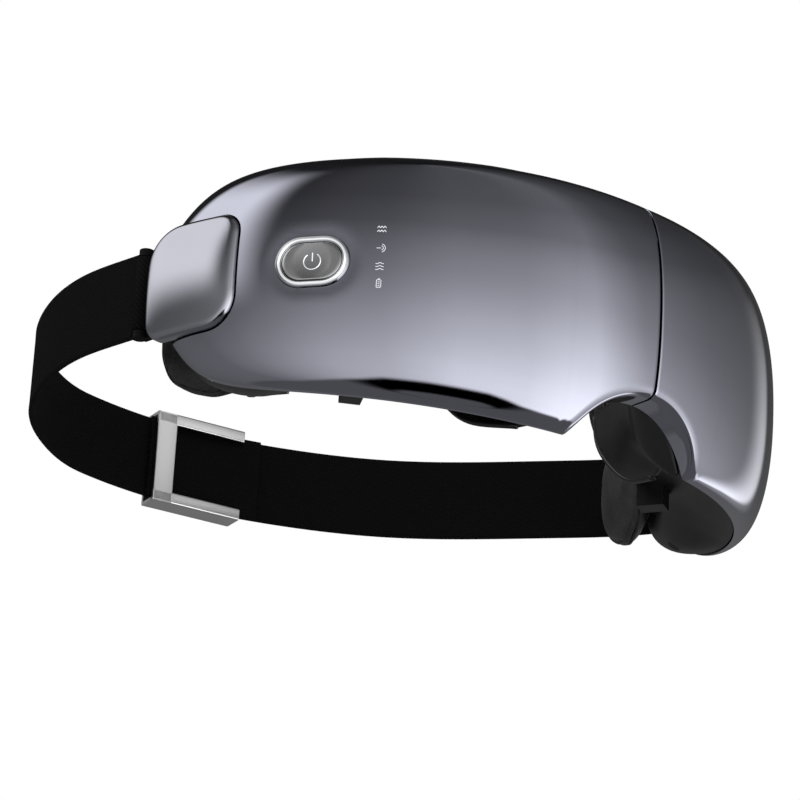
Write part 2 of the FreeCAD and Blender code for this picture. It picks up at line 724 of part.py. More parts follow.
def pad_clip():
    """Foot that bridges the joint between the pad and the housing, seated against both undersides."""
    half = CLIP_WIDTH / 2
    seat = [Vector(-half, depth, z) for depth, z in CLIP_SEAT]
    feet = [Vector(-half, seat[-1].y, CLIP_LOW), Vector(-half, seat[0].y, CLIP_LOW)]
    outline = seat + feet + [seat[0]]
    clip = Part.Face(Part.makePolygon(outline)).extrude(Vector(CLIP_WIDTH, 0, 0))
    turn = FreeCAD.Rotation(Vector(0, 0, 1), CLIP_TURN)
    clip.Placement = FreeCAD.Placement(Vector(CLIP_X, CLIP_Y, 0), turn)
    return clip


def main_board():
    return block(44, 1.2, 26, arc_frame(52.0, 7.5, 2.0))


def battery():
    return block(34, 5.5, 22, arc_frame(57.0, 6.5, 2.0))


def air_pump():
    return block(22, 11, 14, arc_frame(95.0, 7.0, 9.0))


def release_valve():
    return block(13, 8, 9, arc_frame(95.0, 7.0, -10.0))


def air_tubes():
    centre = arc_frame(76.0, 17.0, -10.0)
    return along_cylinder(1.5, -20, 6, centre).cut(along_cylinder(0.9, -21, 7, centre))


def port_block(length, depth, low, high):
    """An upright block centred on the charging socket."""
    box = Part.makeBox(length, depth, high - low, Vector(-length / 2, -depth / 2, low))
    turn = FreeCAD.Rotation(Vector(0, 0, 1), PORT_TURN)
    box.Placement = FreeCAD.Placement(Vector(PORT_X, PORT_Y, 0), turn)
    return box


def usb_port():
    """Charging socket: a hollow steel shell that opens downwards through the housing's lower wall."""
    shell = port_block(PORT_LENGTH, PORT_WIDTH, PORT_LOW, PORT_LOW + PORT_HEIGHT)
    mouth = port_block(PORT_LENGTH - 2 * PORT_SHEET, PORT_WIDTH - 2 * PORT_SHEET,
                       PORT_LOW - 1, PORT_LOW + PORT_HEIGHT - PORT_SHEET)
    return shell.cut(mouth)


def right_rear_housing():
    gap = 0.2
    opening = port_block(PORT_LENGTH + gap, PORT_WIDTH + gap, PORT_LOW - 5, PORT_LOW + PORT_HEIGHT)
    return rear_housing().cut(opening)


def flex_cable():
    corner = Vector(-CABLE_LENGTH / 2, CABLE_Y, CABLE_LOW)
    return Part.makeBox(CABLE_LENGTH, CABLE_THICK, CABLE_WIDTH, corner)


def hinge_pin():
    return upright_cylinder(PIN_RADIUS, 0, 0, HINGE_BOTTOM - 0.8, HINGE_TOP + 0.8)


def both_sides(name, shape, nodes):
    nodes[name + "_left"] = shape
    nodes[name + "_right"] = mirrored(shape)


def build():
    nodes = {}
    nodes["front_cover_left"] = front_cover()
    nodes["front_cover_right"] = mirrored(right_front_cover())
    nodes["rear_housing_left"] = rear_housing()
    nodes["rear_housing_right"] = mirrored(right_rear_housing())
    for name, maker in (("face_pad", face_pad), ("nose_wing", nose_wing),
                        ("airbag", airbag), ("heating_film", heating_film),
                        ("vibration_motor", vibration_motor), ("motor_weight", motor_weight),
                        ("speaker", speaker), ("temple_cover", temple_cover),
                        ("strap_anchor", strap_anchor), ("pad_clip", pad_clip), ("screws", screws)):
        both_sides(name, maker(), nodes)
    low = (HINGE_BOTTOM, HINGE_SPLIT_LOW - KNUCKLE_GAP / 2)
    middle = (HINGE_SPLIT_LOW + KNUCKLE_GAP / 2, HINGE_SPLIT_HIGH - KNUCKLE_GAP / 2)
    high = (HINGE_SPLIT_HIGH + KNUCKLE_GAP / 2, HINGE_TOP)
    nodes["hinge_bracket_right"] = mirrored(hinge_bracket([low, high]))
    nodes["hinge_bracket_left"] = hinge_bracket([middle])
    nodes["hinge_pin"] = hinge_pin()
    nodes["bridge_gusset"] = bridge_gusset()
    nodes["flex_cable"] = flex_cable()
    for name, maker in (("button_bezel", button_bezel), ("power_button", power_button),
                        ("switch_plunger", switch_plunger), ("switch_board", switch_board),
                        ("indicator_windows", indicator_windows), ("usb_port", usb_port),
                        ("main_board", main_board)):
        nodes[name] = mirrored(maker())
    for name, maker in (("battery", battery), ("air_pump", air_pump), ("release_valve", release_valve),
                        ("air_tubes", air_tubes)):
        nodes[name] = maker()
    for number, link in enumerate(strap_links(), start=1):
        nodes[f"strap_link_{number}"] = link
    nodes["strap_tail"] = strap_tail()
    nodes["tri_glide"] = tri_glide()
    return nodes


os.makedirs(OUT, exist_ok=True)
for node, shape in build().items():
    shape.exportStep(f"{OUT}/{node}.step")
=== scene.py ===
import math

import bmesh
import bpy
import numpy as np
from mathutils import Matrix, Vector
from mathutils.bvhtree import BVHTree


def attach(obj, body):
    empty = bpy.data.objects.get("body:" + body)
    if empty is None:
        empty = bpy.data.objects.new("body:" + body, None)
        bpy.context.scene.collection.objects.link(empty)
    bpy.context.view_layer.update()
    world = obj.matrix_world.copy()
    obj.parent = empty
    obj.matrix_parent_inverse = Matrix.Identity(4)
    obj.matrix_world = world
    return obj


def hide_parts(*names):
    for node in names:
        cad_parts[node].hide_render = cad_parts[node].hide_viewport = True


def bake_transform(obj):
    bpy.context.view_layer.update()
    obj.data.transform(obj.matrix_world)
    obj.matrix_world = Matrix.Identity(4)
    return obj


# Looks of the eye massager mask. Shapes are worked out in millimetres in the part's own frame:
# +X is the wearer's left, the front faces -Y, +Z is up, and the origin is on the centre fold.
# "arc" runs along the front surface from the centre seam and "depth" runs inwards from it.
# Every half is shaped on the +X side; side -1 gives the wearer's right.

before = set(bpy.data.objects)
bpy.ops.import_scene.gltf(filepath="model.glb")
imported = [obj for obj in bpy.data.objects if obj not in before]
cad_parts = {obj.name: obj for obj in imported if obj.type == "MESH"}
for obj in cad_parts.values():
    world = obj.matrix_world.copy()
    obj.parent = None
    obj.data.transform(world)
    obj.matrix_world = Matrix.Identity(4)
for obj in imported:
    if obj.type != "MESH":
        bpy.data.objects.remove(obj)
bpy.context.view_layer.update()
scene = bpy.context.scene

MM = 0.001
SIDES = {"left": 1, "right": -1}

# Wrapped shell
SHELL_RADIUS = 104.6
AXIS_DEPTH = 12.0
HALF_ARC = 153.4
EDGE_BASE_Z = -1.5
CROWN_POWER = 2.2
COVER_DEPTH = 10.5
COVER_END_ARC = 150.0
COVER_THICK = 1.6
COVER_ROWS = 72
ARCH_RADIUS = 24.6
ARCH_CENTRE_Z = -50.9
RIM_RADIUS = 2.4
RIM_STEPS = 8
# Rounding of the centre seam: arc, and how far it sinks there
SEAM_FILLET = [(0.4, 1.6), (0.4, 0.35), (0.47, 0.1), (0.7, 0.0)]

# Temple cover
TAB_ARC = 138.0
TAB_HALF = 15.0
TAB_TOP = 16.0
TAB_BOTTOM = -17.0
TAB_CORNERS = (11.0, 6.0, 9.0, 5.0)
TAB_PROUD = 2.6
TAB_EDGE_PROUD = 0.6
TAB_GROOVE = 0.4
TAB_FILLET = 1.7

# Power button and symbols
BUTTON_ARC = 100.9
BUTTON_Z = -1.2
BEZEL_WIDTH = 20.6
BEZEL_HEIGHT = 14.7
BEZEL_RING = 1.8
BEZEL_GAP = 0.3
# Ring sections as (inset, height) pairs
BEZEL_SECTION = [(1.8, -3.4), (1.8, 0.0), (1.7, 0.12), (1.5, 0.14), (0.6, 0.14), (0.4, 0.2), (0.3, 0.3),
                 (0.14, 0.27), (0.0, 0.08), (0.0, -3.4)]
BRIGHT_RING_SECTION = [(1.35, 0.05), (1.33, 0.3), (1.24, 0.44), (1.02, 0.5), (0.8, 0.44), (0.71, 0.3),
                       (0.69, 0.05)]
MOAT_DEPTH = 0.32
MOAT_REACH = 2.2
CAP_CLEARANCE = 0.15
CAP_PROUD = 0.2
DISH_RADIUS = 5.6
DISH_DEPTH = 0.42
STEM_WIDTH = 3.2
STEM_DEPTHS = (2.0, 4.6)
SIGN_RADIUS = 2.35
ICON_ARC = 82.4
ICON_LINE = 0.17

# Strap
STRAP_WIDTH = 25.4
STRAP_THICK = 1.6
BAR_X = 101.5
BAR_Y = 87.5
STRAP_REAR = [(-50.0, 184.8), (-17.0, 185.6), (15.0, 177.2)]
STRAP_RIGHT = [(-BAR_X, BAR_Y), (-103.8, 111.0), (-97.5, 140.0), (-87.0, 159.0), (-71.0, 174.5),
               STRAP_REAR[0]]
STRAP_LEFT = [STRAP_REAR[-1], (46.0, 159.5), (80.0, 122.0), (BAR_X, BAR_Y)]
JOINT_1_SHARE = 0.47
JOINT_4_SHARE = 0.46
BEND_REACH = 10.0
LOOP_HALF_WIDTH = 10.9
TAIL_OFFSET = -1.7
TAIL_THICK = 1.2
TAIL_SHARES = (0.36, 0.93)
# Gap from each strap bar to the flat band, and how loose the loop round the bar is
RIGHT_END = (2.6, 0.1)
LEFT_END = (2.8, 0.5)
BAR_RADIUS = 1.2


def vec(*values):
    return np.array(values, float)


def arc_point(arc, depth, z):
    """A point of the mask, from its distance along the front surface and its depth behind it."""
    arc, depth, z = np.broadcast_arrays(np.asarray(arc, float), depth, z)
    angle = arc / SHELL_RADIUS
    reach = SHELL_RADIUS - depth
    x = reach * np.sin(angle)
    y = SHELL_RADIUS - reach * np.cos(angle) - AXIS_DEPTH
    return np.stack([x, y, z], axis=-1)


def edge_share(arc):
    return np.minimum(np.abs(arc) / HALF_ARC, 1.0)


def top_edge(arc):
    share = edge_share(arc)
    return EDGE_BASE_Z + (33.97 + 2.1 * share - 1.7 * share ** 2) * np.sqrt(1 - share ** 12.5)


def bottom_edge(arc):
    share = edge_share(arc)
    return EDGE_BASE_Z - (39.73 - 1.07 * share - 12.31 * share ** 2) * np.sqrt(1 - share ** 14.0)


def crown(arc, angle, extra=0.0):
    """Point of the crowned front; angle runs from a quarter turn down to a quarter turn up."""
    top = top_edge(arc)
    bottom = bottom_edge(arc)
    rise = np.sign(angle) * np.abs(np.sin(angle)) ** (2 / CROWN_POWER)
    sink = COVER_DEPTH * (1 - np.abs(np.cos(angle)) ** (2 / CROWN_POWER))
    depth = np.minimum(sink + extra, COVER_DEPTH)
    return arc_point(arc, depth, (top + bottom) / 2 + (top - bottom) / 2 * rise)


def crown_depth(arc, z):
    """How far the crowned front lies behind its most forward line, at a height."""
    top = top_edge(arc)
    bottom = bottom_edge(arc)
    share = np.minimum(np.abs(2 * z - top - bottom) / (top - bottom), 1.0)
    cosine = np.sqrt(1 - share ** CROWN_POWER)
    return COVER_DEPTH * (1 - cosine ** (2 / CROWN_POWER))


# Meshes

def smooth_rows(rows, count):
    """A smooth run of values through the given rows, resampled evenly."""
    rows = np.asarray(rows, float)
    padded = np.vstack([2 * rows[0] - rows[1], rows, 2 * rows[-1] - rows[-2]])
    place = np.linspace(0, len(rows) - 1, count)
    index = np.minimum(place.astype(int), len(rows) - 2)
    part = (place - index)[:, None]
    p0, p1, p2, p3 = (padded[index + k] for k in range(4))
    curve = 2 * p1 + (p2 - p0) * part + (2 * p0 - 5 * p1 + 4 * p2 - p3) * part ** 2
    return 0.5 * (curve + (3 * p1 - p0 - 3 * p2 + p3) * part ** 3)


def even_steps(points, count, closed=False):
    """The same line with evenly spaced points."""
    points = np.asarray(points, float)
    if closed:
        points = np.vstack([points, points[:1]])
    lengths = np.linalg.norm(np.diff(points, axis=0), axis=1)
    reach = np.concatenate([[0], np.cumsum(lengths)])
    wanted = np.linspace(0, reach[-1], count + 1)[:-1] if closed else np.linspace(0, reach[-1], count)
    return np.stack([np.interp(wanted, reach, points[:, k]) for k in range(points.shape[1])], axis=-1)


def grid_faces(rows, columns, wrap=False):
    faces = []
    for row in range(rows - 1):
        for column in range(columns if wrap else columns - 1):
            after = (column + 1) % columns
            faces.append((row * columns + column, row * columns + after,
                          (row + 1) * columns + after, (row + 1) * columns + column))
    return faces


def ring_faces(rings, columns, closed=False):
    """Faces that join rings of equal length, with the ends capped unless the last ring meets the first."""
    faces = grid_faces(rings, columns, wrap=True)
    last = (rings - 1) * columns
    if closed:
        return faces + [(last + k, last + (k + 1) % columns, (k + 1) % columns, k) for k in range(columns)]
    return faces + [tuple(range(columns))[::-1], tuple(last + k for k in range(columns))]


def new_piece(name, points, faces, material, side=1, weld=True):
    """A smooth mesh from millimetre points, mirrored when side is -1."""
    points = np.asarray(points, float).reshape(-1, 3) * (side, 1, 1) * MM
    mesh = bpy.data.meshes.new(name)
    mesh.from_pydata(points.tolist(), [], faces)
    body = bmesh.new()
    body.from_mesh(mesh)
    if weld:
        bmesh.ops.remove_doubles(body, verts=body.verts, dist=0.002 * MM)
    bmesh.ops.recalc_face_normals(body, faces=body.faces)
    body.to_mesh(mesh)
    body.free()
    mesh.shade_smooth()
    piece = bpy.data.objects.new(name, mesh)
    scene.collection.objects.link(piece)
    mesh.materials.append(material)
    return piece


def loft(name, rings, material, side=1, closed=False, weld=True):
    """A skin over rings of equal length; closed joins the last ring to the first."""
    return new_piece(name, rings, ring_faces(len(rings), len(rings[0]), closed), material, side, weld)


def sheet(name, rows, material, side=1):
    """An open sheet over rows of equal length."""
    return new_piece(name, rows, grid_faces(len(rows), len(rows[0])), material, side)


def face_outwards(piece, away_from):
    """Turns an open sheet so that its faces look away from a point, in millimetres."""
    mesh = piece.data
    centre = Vector(away_from) * MM
    total = sum((p.center - centre).dot(p.normal) * p.area for p in mesh.polygons)
    if total < 0:
        mesh.flip_normals()


def apply_modifiers(piece):
    """Keeps the shape that the piece's modifiers give it, as its own mesh."""
    graph = bpy.context.evaluated_depsgraph_get()
    shaped = bpy.data.meshes.new_from_object(piece.evaluated_get(graph))
    piece.modifiers.clear()
    piece.data = shaped
    return piece


def thicken(piece, thickness, offset=-1.0):
    solid = piece.modifiers.new("thickness", "SOLIDIFY")
    solid.thickness = thickness * MM
    solid.offset = offset
    solid.use_even_offset = True
    return apply_modifiers(piece)


def cut(piece, *cutters):
    for cutter in cutters:
        hole = piece.modifiers.new("hole", "BOOLEAN")
        hole.object = cutter
        hole.solver = "EXACT"
    apply_modifiers(piece)
    for cutter in cutters:
        bpy.data.objects.remove(cutter)
    return piece


def join(name, *pieces):
    """One piece made of several meshes that share a material list."""
    body = bmesh.new()
    for piece in pieces:
        body.from_mesh(piece.data)
    material = pieces[0].data.materials[0]
    for piece in pieces:
        bpy.data.objects.remove(piece)
    mesh = bpy.data.meshes.new(name)
    body.to_mesh(mesh)
    body.free()
    mesh.materials.append(material)
    whole = bpy.data.objects.new(name, mesh)
    scene.collection.objects.link(whole)
    return whole


def sharpen(piece, degrees):
    piece.data.shade_smooth()
    piece.data.set_sharp_from_angle(angle=math.radians(degrees))


def place(piece, body, slot, *nodes):
    """Fixes a piece to its body, in place of the nodes that it stands for."""
    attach(piece, body)
    if nodes:
        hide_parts(*nodes)
    return piece


def place_across_fold(piece, node):
    """Leaves a piece fixed to neither half, with its placement baked into its mesh, in place of the node that
    it stands for.
    """
    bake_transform(piece)
    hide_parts(node)


def bead(name, path, radius, material, side=1, sides=8, closed=False):
    """A round bead along a path."""
    path = np.asarray(path, float)
    ahead = np.roll(path, -1, axis=0) - np.roll(path, 1, axis=0) if closed else np.gradient(path, axis=0)
    ahead /= np.linalg.norm(ahead, axis=1)[:, None]
    normal = np.cross(ahead[0], vec(0.31, 0.22, 0.92))
    turn = np.linspace(0, 2 * math.pi, sides, endpoint=False)[:, None]
    rings = []
    for point, forward in zip(path, ahead):
        normal = normal - forward * (normal @ forward)
        normal /= np.linalg.norm(normal)
        across = np.cross(forward, normal)
        rings.append(point + radius * (np.cos(turn) * normal + np.sin(turn) * across))
    return loft(name, rings, material, side, closed)


# Node graphs

class Graph:
    """Adds nodes to a tree and joins them."""

    def __init__(self, tree):
        self.tree = tree
        tree.nodes.clear()

    def put(self, socket, value):
        if isinstance(value, bpy.types.NodeSocket):
            self.tree.links.new(value, socket)
        else:
            socket.default_value = value

    def node(self, kind, inputs=None, **settings):
        node = self.tree.nodes.new("ShaderNode" + kind)
        for key, value in settings.items():
            setattr(node, key, value)
        for key, value in (inputs or {}).items():
            self.put(node.inputs[key], value)
        return node

    def math(self, operation, first, second=0.0):
        node = self.node("Math", operation=operation)
        self.put(node.inputs[0], first)
        self.put(node.inputs[1], second)
        return node.outputs[0]

    def times(self, first, second):
        return self.math("MULTIPLY", first, second)

    def plus(self, first, second):
        return self.math("ADD", first, second)

    def choose(self, share, first, second):
        """A number between two others."""
        node = self.node("Mix", {"Factor": share, "A": first, "B": second}, data_type="FLOAT")
        return node.outputs[0]

    def span(self, value, low, high, to_low=0.0, to_high=1.0, smooth=False):
        kind = "SMOOTHSTEP" if smooth else "LINEAR"
        inputs = {"Value": value, "From Min": low, "From Max": high, "To Min": to_low, "To Max": to_high}
        return self.node("MapRange", inputs, interpolation_type=kind).outputs[0]

    def colours(self, share, first, second):
        node = self.node("Mix", data_type="RGBA")
        self.put(node.inputs["Factor"], share)
        for key, value in (("A", first), ("B", second)):
            for socket in node.inputs:
                if socket.name == key and socket.type == "RGBA":
                    socket.default_value = (*value, 1)
        return [s for s in node.outputs if s.type == "RGBA"][0]


def new_graph(name):
    material = bpy.data.materials.new(name)
    material.use_nodes = True
    graph = Graph(material.node_tree)
    shader = graph.node("BsdfPrincipled")
    output = graph.node("OutputMaterial")
    graph.tree.links.new(shader.outputs[0], output.inputs[0])
    return material, graph, shader


def noise(graph, place_socket, scale, detail=3.0):
    inputs = {"Vector": place_socket, "Scale": scale, "Detail": detail, "Roughness": 0.55}
    return graph.node("TexNoise", inputs).outputs[0]


def bump(graph, shader, height, distance, strength=1.0):
    node = graph.node("Bump", {"Height": height, "Distance": distance * MM, "Strength": strength})
    graph.put(shader.inputs["Normal"], node.outputs[0])


def drifting(name, dark, light, rough, cloud, steady=0.25, detail=3.0):
    """A material whose colour and roughness drift a little over the surface."""
    material, graph, shader = new_graph(name)
    where = graph.node("TexCoord").outputs["Object"]
    cloudy = noise(graph, where, cloud, detail)
    graph.put(shader.inputs["Base Color"], graph.colours(graph.span(cloudy, 0.3, 0.7), dark, light))
    graph.put(shader.inputs["Roughness"], graph.span(cloudy, steady, 1 - steady, *rough))
    return material, graph, shader, where


def set_shader(graph, shader, **values):
    """Sets shader inputs; an underscore stands for a space."""
    for key, value in values.items():
        graph.put(shader.inputs[key.replace("_", " ")], value)


def metal(name, dark, light, rough, cloud=45.0, flake=0.0, coat=0.0, painted_glow=0.0):
    """Metal or metallised plastic with faint clouding, flakes when asked, and a painted glow when asked."""
    material, graph, shader, where = drifting(name, dark, light, rough, cloud)
    if flake:
        bump(graph, shader, noise(graph, where, 2600.0, 1.0), flake, 0.5)
    # Emission here is a painted glow that stands in for a highlight.
    set_shader(graph, shader, Metallic=1.0, Coat_Weight=coat, Coat_Roughness=0.04,
               Emission_Color=(*light, 1), Emission_Strength=painted_glow)
    return material


def plastic(name, dark, light, rough, grain=0.03, grain_scale=1400.0, coat=0.0, painted_glow=0.0, shine=0.5):
    """Moulded plastic with a fine spark-eroded grain."""
    material, graph, shader, where = drifting(name, dark, light, rough, 70.0)
    bump(graph, shader, noise(graph, where, grain_scale, 2.0), grain, 0.6)
    set_shader(graph, shader, Coat_Weight=coat, Specular_IOR_Level=shine)
    # Emission here is a painted glow that stands in for a highlight, not a lamp.
    if painted_glow:
        set_shader(graph, shader, Emission_Color=(*light, 1), Emission_Strength=painted_glow)
    return material


def silicone(name, dark, light, rough):
    """Soft rubber with a fine skin."""
    material, graph, shader, where = drifting(name, dark, light, rough, 55.0, 0.3, 4.0)
    bump(graph, shader, noise(graph, where, 1800.0, 2.0), 0.02, 0.5)
    set_shader(graph, shader, Sheen_Weight=0.02)
    return material


def leatherette(name):
    """Soft synthetic leather: small pebbled cells with darker valleys."""
    material, graph, shader = new_graph(name)
    where = graph.node("TexCoord").outputs["Object"]
    cells = graph.node("TexVoronoi", {"Vector": where, "Scale": 1150.0}, feature="SMOOTH_F1").outputs[0]
    cloudy = noise(graph, where, 90.0)
    share = graph.times(graph.span(cells, 0.7, 0.1), graph.span(cloudy, 0.2, 0.8, 0.5, 1.0))
    colour = graph.colours(share, (0.006, 0.006, 0.007), (0.022, 0.022, 0.024))
    set_shader(graph, shader, Base_Color=colour)
    graph.put(shader.inputs["Roughness"], graph.span(cloudy, 0.3, 0.7, 0.42, 0.58))
    set_shader(graph, shader, Sheen_Weight=0.05, Sheen_Roughness=0.4)
    bump(graph, shader, graph.span(cells, 0.0, 0.8, 1.0, 0.0), 0.10, 0.55)
    return material


def webbing(name):
    """Black elastic webbing: fine twill lines across the width and a ribbed selvedge."""
    material, graph, shader = new_graph(name)
    flat = graph.node("TexCoord").outputs["UV"]
    spread = graph.node("SeparateXYZ", {"Vector": flat})
    along, across = spread.outputs[0], spread.outputs[1]
    slope = graph.plus(along, graph.times(across, 0.55))
    twill = graph.math("SINE", graph.times(slope, 7200.0))
    weft = graph.math("SINE", graph.times(across, 9000.0))
    woven = graph.plus(graph.times(twill, 0.65), graph.times(weft, 0.35))
    fuzz = noise(graph, flat, 2400.0, 2.0)
    share = graph.plus(graph.span(woven, -1.0, 1.0, 0.0, 0.8), graph.times(fuzz, 0.25))
    colour = graph.colours(share, (0.0008, 0.0008, 0.0008), (0.005, 0.005, 0.0052))
    set_shader(graph, shader, Base_Color=colour, Roughness=0.85, Specular_IOR_Level=0.06)
    bump(graph, shader, woven, 0.12, 0.6)
    return material


def knit(name, dark, light, pitch):
    """Fine knitted cloth: rows of small loops."""
    material, graph, shader = new_graph(name)
    where = graph.node("TexCoord").outputs["Object"]
    split = graph.node("SeparateXYZ", {"Vector": where})
    wave_x = graph.math("SINE", graph.times(split.outputs[0], pitch))
    wave_z = graph.math("SINE", graph.times(split.outputs[2], pitch * 1.3))
    loops = graph.times(wave_x, wave_z)
    colour = graph.colours(graph.span(loops, -1.0, 1.0), dark, light)
    set_shader(graph, shader, Base_Color=colour, Roughness=0.9, Sheen_Weight=0.3)
    bump(graph, shader, loops, 0.08, 0.6)
    return material


gunmetal = metal("gunmetal_shell", (0.385, 0.39, 0.46), (0.41, 0.415, 0.485), (0.05, 0.07), 30.0, 0.002, 0.15)
silver = metal("temple_silver", (0.37, 0.375, 0.42), (0.41, 0.415, 0.46), (0.12, 0.16), 30.0, 0.002, 0.10)
chrome = metal("chrome_trim", (0.50, 0.51, 0.53), (0.56, 0.57, 0.59), (0.12, 0.18))
# The emission glow on this chrome ring is a painted highlight: it stands in for the ring's bright reflection,
# and the ring is no lamp.
painted_glow_chrome = metal("button_ring_painted_glow", (0.86, 0.87, 0.89), (0.92, 0.93, 0.94), (0.18, 0.26), painted_glow=0.55)
satin = metal("button_cap", (0.50, 0.50, 0.51), (0.56, 0.56, 0.57), (0.24, 0.30), 120.0, 0.01)
nickel = metal("glide_nickel", (0.78, 0.78, 0.78), (0.86, 0.86, 0.86), (0.30, 0.40), 80.0, 0.008)
steel = metal("hinge_steel", (0.055, 0.055, 0.06), (0.085, 0.085, 0.09), (0.34, 0.42), 120.0, 0.01)
motor_steel = metal("motor_steel", (0.56, 0.56, 0.57), (0.64, 0.64, 0.65), (0.22, 0.30), 160.0, 0.01)
dark_steel = metal("screw_steel", (0.18, 0.18, 0.19), (0.26, 0.26, 0.27), (0.32, 0.40), 200.0, 0.01)
tungsten = metal("tungsten", (0.28, 0.28, 0.29), (0.36, 0.36, 0.37), (0.45, 0.6), 300.0, 0.03)
soft_touch = plastic("soft_touch_black", (0.010, 0.010, 0.011), (0.017, 0.017, 0.018), (0.34, 0.44), 0.02)
matte_black = plastic("anchor_black", (0.0015, 0.0015, 0.0015), (0.003, 0.003, 0.003), (0.6, 0.7), shine=0.12)
black_plastic = plastic("black_plastic", (0.008, 0.008, 0.009), (0.016, 0.016, 0.017), (0.35, 0.48), 0.03)
# The faint emission glow on the icon print is painted brightness, a painted highlight; the symbols are no
# lamp.
icon_white = plastic("icon_white", (0.6, 0.62, 0.66), (0.75, 0.77, 0.8), (0.3, 0.36), 0.01, 2000.0, painted_glow=0.2)
board_green = plastic("board_green", (0.015, 0.10, 0.045), (0.03, 0.15, 0.07), (0.25, 0.40), 0.05, 600.0, 0.4)
battery_wrap = plastic("battery_wrap", (0.08, 0.14, 0.34), (0.11, 0.19, 0.42), (0.2, 0.32), 0.04, 300.0, 0.5)
tube_clear = plastic("tube_clear", (0.55, 0.55, 0.52), (0.72, 0.72, 0.69), (0.25, 0.35), 0.01, 900.0, 0.2)
flex_orange = plastic("flex_orange", (0.55, 0.26, 0.06), (0.72, 0.38, 0.10), (0.25, 0.35), 0.01, 900.0, 0.4)
pad_skin = leatherette("pad_leatherette")
elastic = webbing("elastic_black")
wing_rubber = silicone("silicone_black", (0.004, 0.004, 0.0045), (0.008, 0.008, 0.009), (0.30, 0.38))
bag_cloth = knit("airbag_fabric", (0.010, 0.010, 0.011), (0.035, 0.035, 0.037), 5200.0)
film_cloth = knit("heater_film", (0.020, 0.020, 0.022), (0.060, 0.060, 0.064), 4200.0)


# Front cover

def arch_angle(arc, extra, reach):
    """Lowest angle of the crown that stays outside an arch of the given radius."""
    angles = np.linspace(-math.pi / 2, 0.6, 500)
    points = crown(arc, angles, extra)
    beyond = np.hypot(points[:, 0], points[:, 2] - ARCH_CENTRE_Z) - reach
    if beyond[0] >= 0:
        return angles[0]
    index = int(np.argmax(beyond >= 0))
    share = -beyond[index - 1] / (beyond[index] - beyond[index - 1])
    return angles[index - 1] + share * (angles[index] - angles[index - 1])


def arch_wall_y(x):
    """How far back the wall of the arch reaches, at a distance from the seam."""
    return SHELL_RADIUS - np.sqrt((SHELL_RADIUS - COVER_DEPTH) ** 2 - x ** 2) - AXIS_DEPTH


def cover_column(arc, extra):
    """One upright line of the cover: arch wall, its rounded rim, then the crown to the top edge."""
    rim = []
    for turn in np.linspace(0, math.pi / 2, RIM_STEPS):
        out = RIM_RADIUS * (1 - math.sin(turn))
        sink = RIM_RADIUS * (1 - math.cos(turn))
        rim.append(crown(arc, arch_angle(arc, extra, ARCH_RADIUS + out), extra + sink))
    low = arch_angle(arc, extra, ARCH_RADIUS + RIM_RADIUS)
    surface = crown(arc, np.linspace(low, math.pi / 2, COVER_ROWS), extra)
    edge = rim[-1]
    run = max(arch_wall_y(edge[0]) - edge[1], 0)
    wall = [edge + vec(0, run * share, 0) for share in (1.0, 0.66, 0.33)]
    return np.vstack([wall, rim[:0:-1], surface])


def cover_arcs():
    near = [(arc, 0.0) for arc in np.linspace(1.3, 23.2, 28)]
    far = [(arc, 0.0) for arc in np.linspace(24.2, COVER_END_ARC, 125)]
    return SEAM_FILLET + near + far


def outline(left, right, low, high, corners, inset=0.0, count=132):
    """Rounded rectangle; corner radii go right top, left top, left bottom, right bottom."""
    left, right, low, high = left + inset, right - inset, low + inset, high - inset
    starts = [(right, high, 0), (left, high, 90), (left, low, 180), (right, low, 270)]
    points = []
    for (across, up, start), radius in zip(starts, corners):
        radius = max(radius - inset, 0.3)
        centre_across = across - math.copysign(radius, across - (left + right) / 2)
        centre_up = up - math.copysign(radius, up - (low + high) / 2)
        for step in range(9):
            angle = math.radians(start + 90 * step / 8)
            points.append((centre_across + radius * math.cos(angle), centre_up + radius * math.sin(angle)))
    return even_steps(points, count, closed=True)


def stadium_outline(width, height, inset=0.0, count=96):
    radius = height / 2
    half = width / 2
    return outline(-half, half, -radius, radius, (radius,) * 4, inset, count)


def tab_outline(inset, count=132):
    return outline(-TAB_HALF, TAB_HALF, TAB_BOTTOM, TAB_TOP, TAB_CORNERS, inset, count)


def cutter(line, depths, to_point, side=1):
    """A tool that cuts an outline straight through a shell."""
    return loft("cutter", [to_point(line[:, 0], depth, line[:, 1]) for depth in depths], gunmetal, side)


def tab_arc_point(across, depth, z):
    return arc_point(TAB_ARC + across, depth, z)


def button_frame():
    """Centre of the power button on the +X side, its direction across and its direction inwards."""
    angle = BUTTON_ARC / SHELL_RADIUS
    across = vec(math.cos(angle), math.sin(angle), 0)
    inward = vec(-math.sin(angle), math.cos(angle), 0)
    return arc_point(BUTTON_ARC, 0.0, BUTTON_Z), across, inward


def button_point(across, inwards, up):
    """A point in the flat frame of the power button, on the +X side."""
    centre, along, inward = button_frame()
    across, inwards, up = np.broadcast_arrays(np.asarray(across, float), inwards, up)
    return centre + across[..., None] * along + inwards[..., None] * inward + up[..., None] * vec(0, 0, 1)


def sink_round_button(points):
    """Presses a shallow moat into the +X side cover round the power button."""
    centre, along, inward = button_frame()
    away = points - centre
    across = np.abs(away @ along)
    flat = np.maximum(across - (BEZEL_WIDTH - BEZEL_HEIGHT) / 2, 0)
    reach = np.hypot(flat, away[..., 2]) - BEZEL_HEIGHT / 2
    depth = MOAT_DEPTH * np.exp(-(np.maximum(reach, 0) / MOAT_REACH) ** 2)
    return points + depth[..., None] * inward


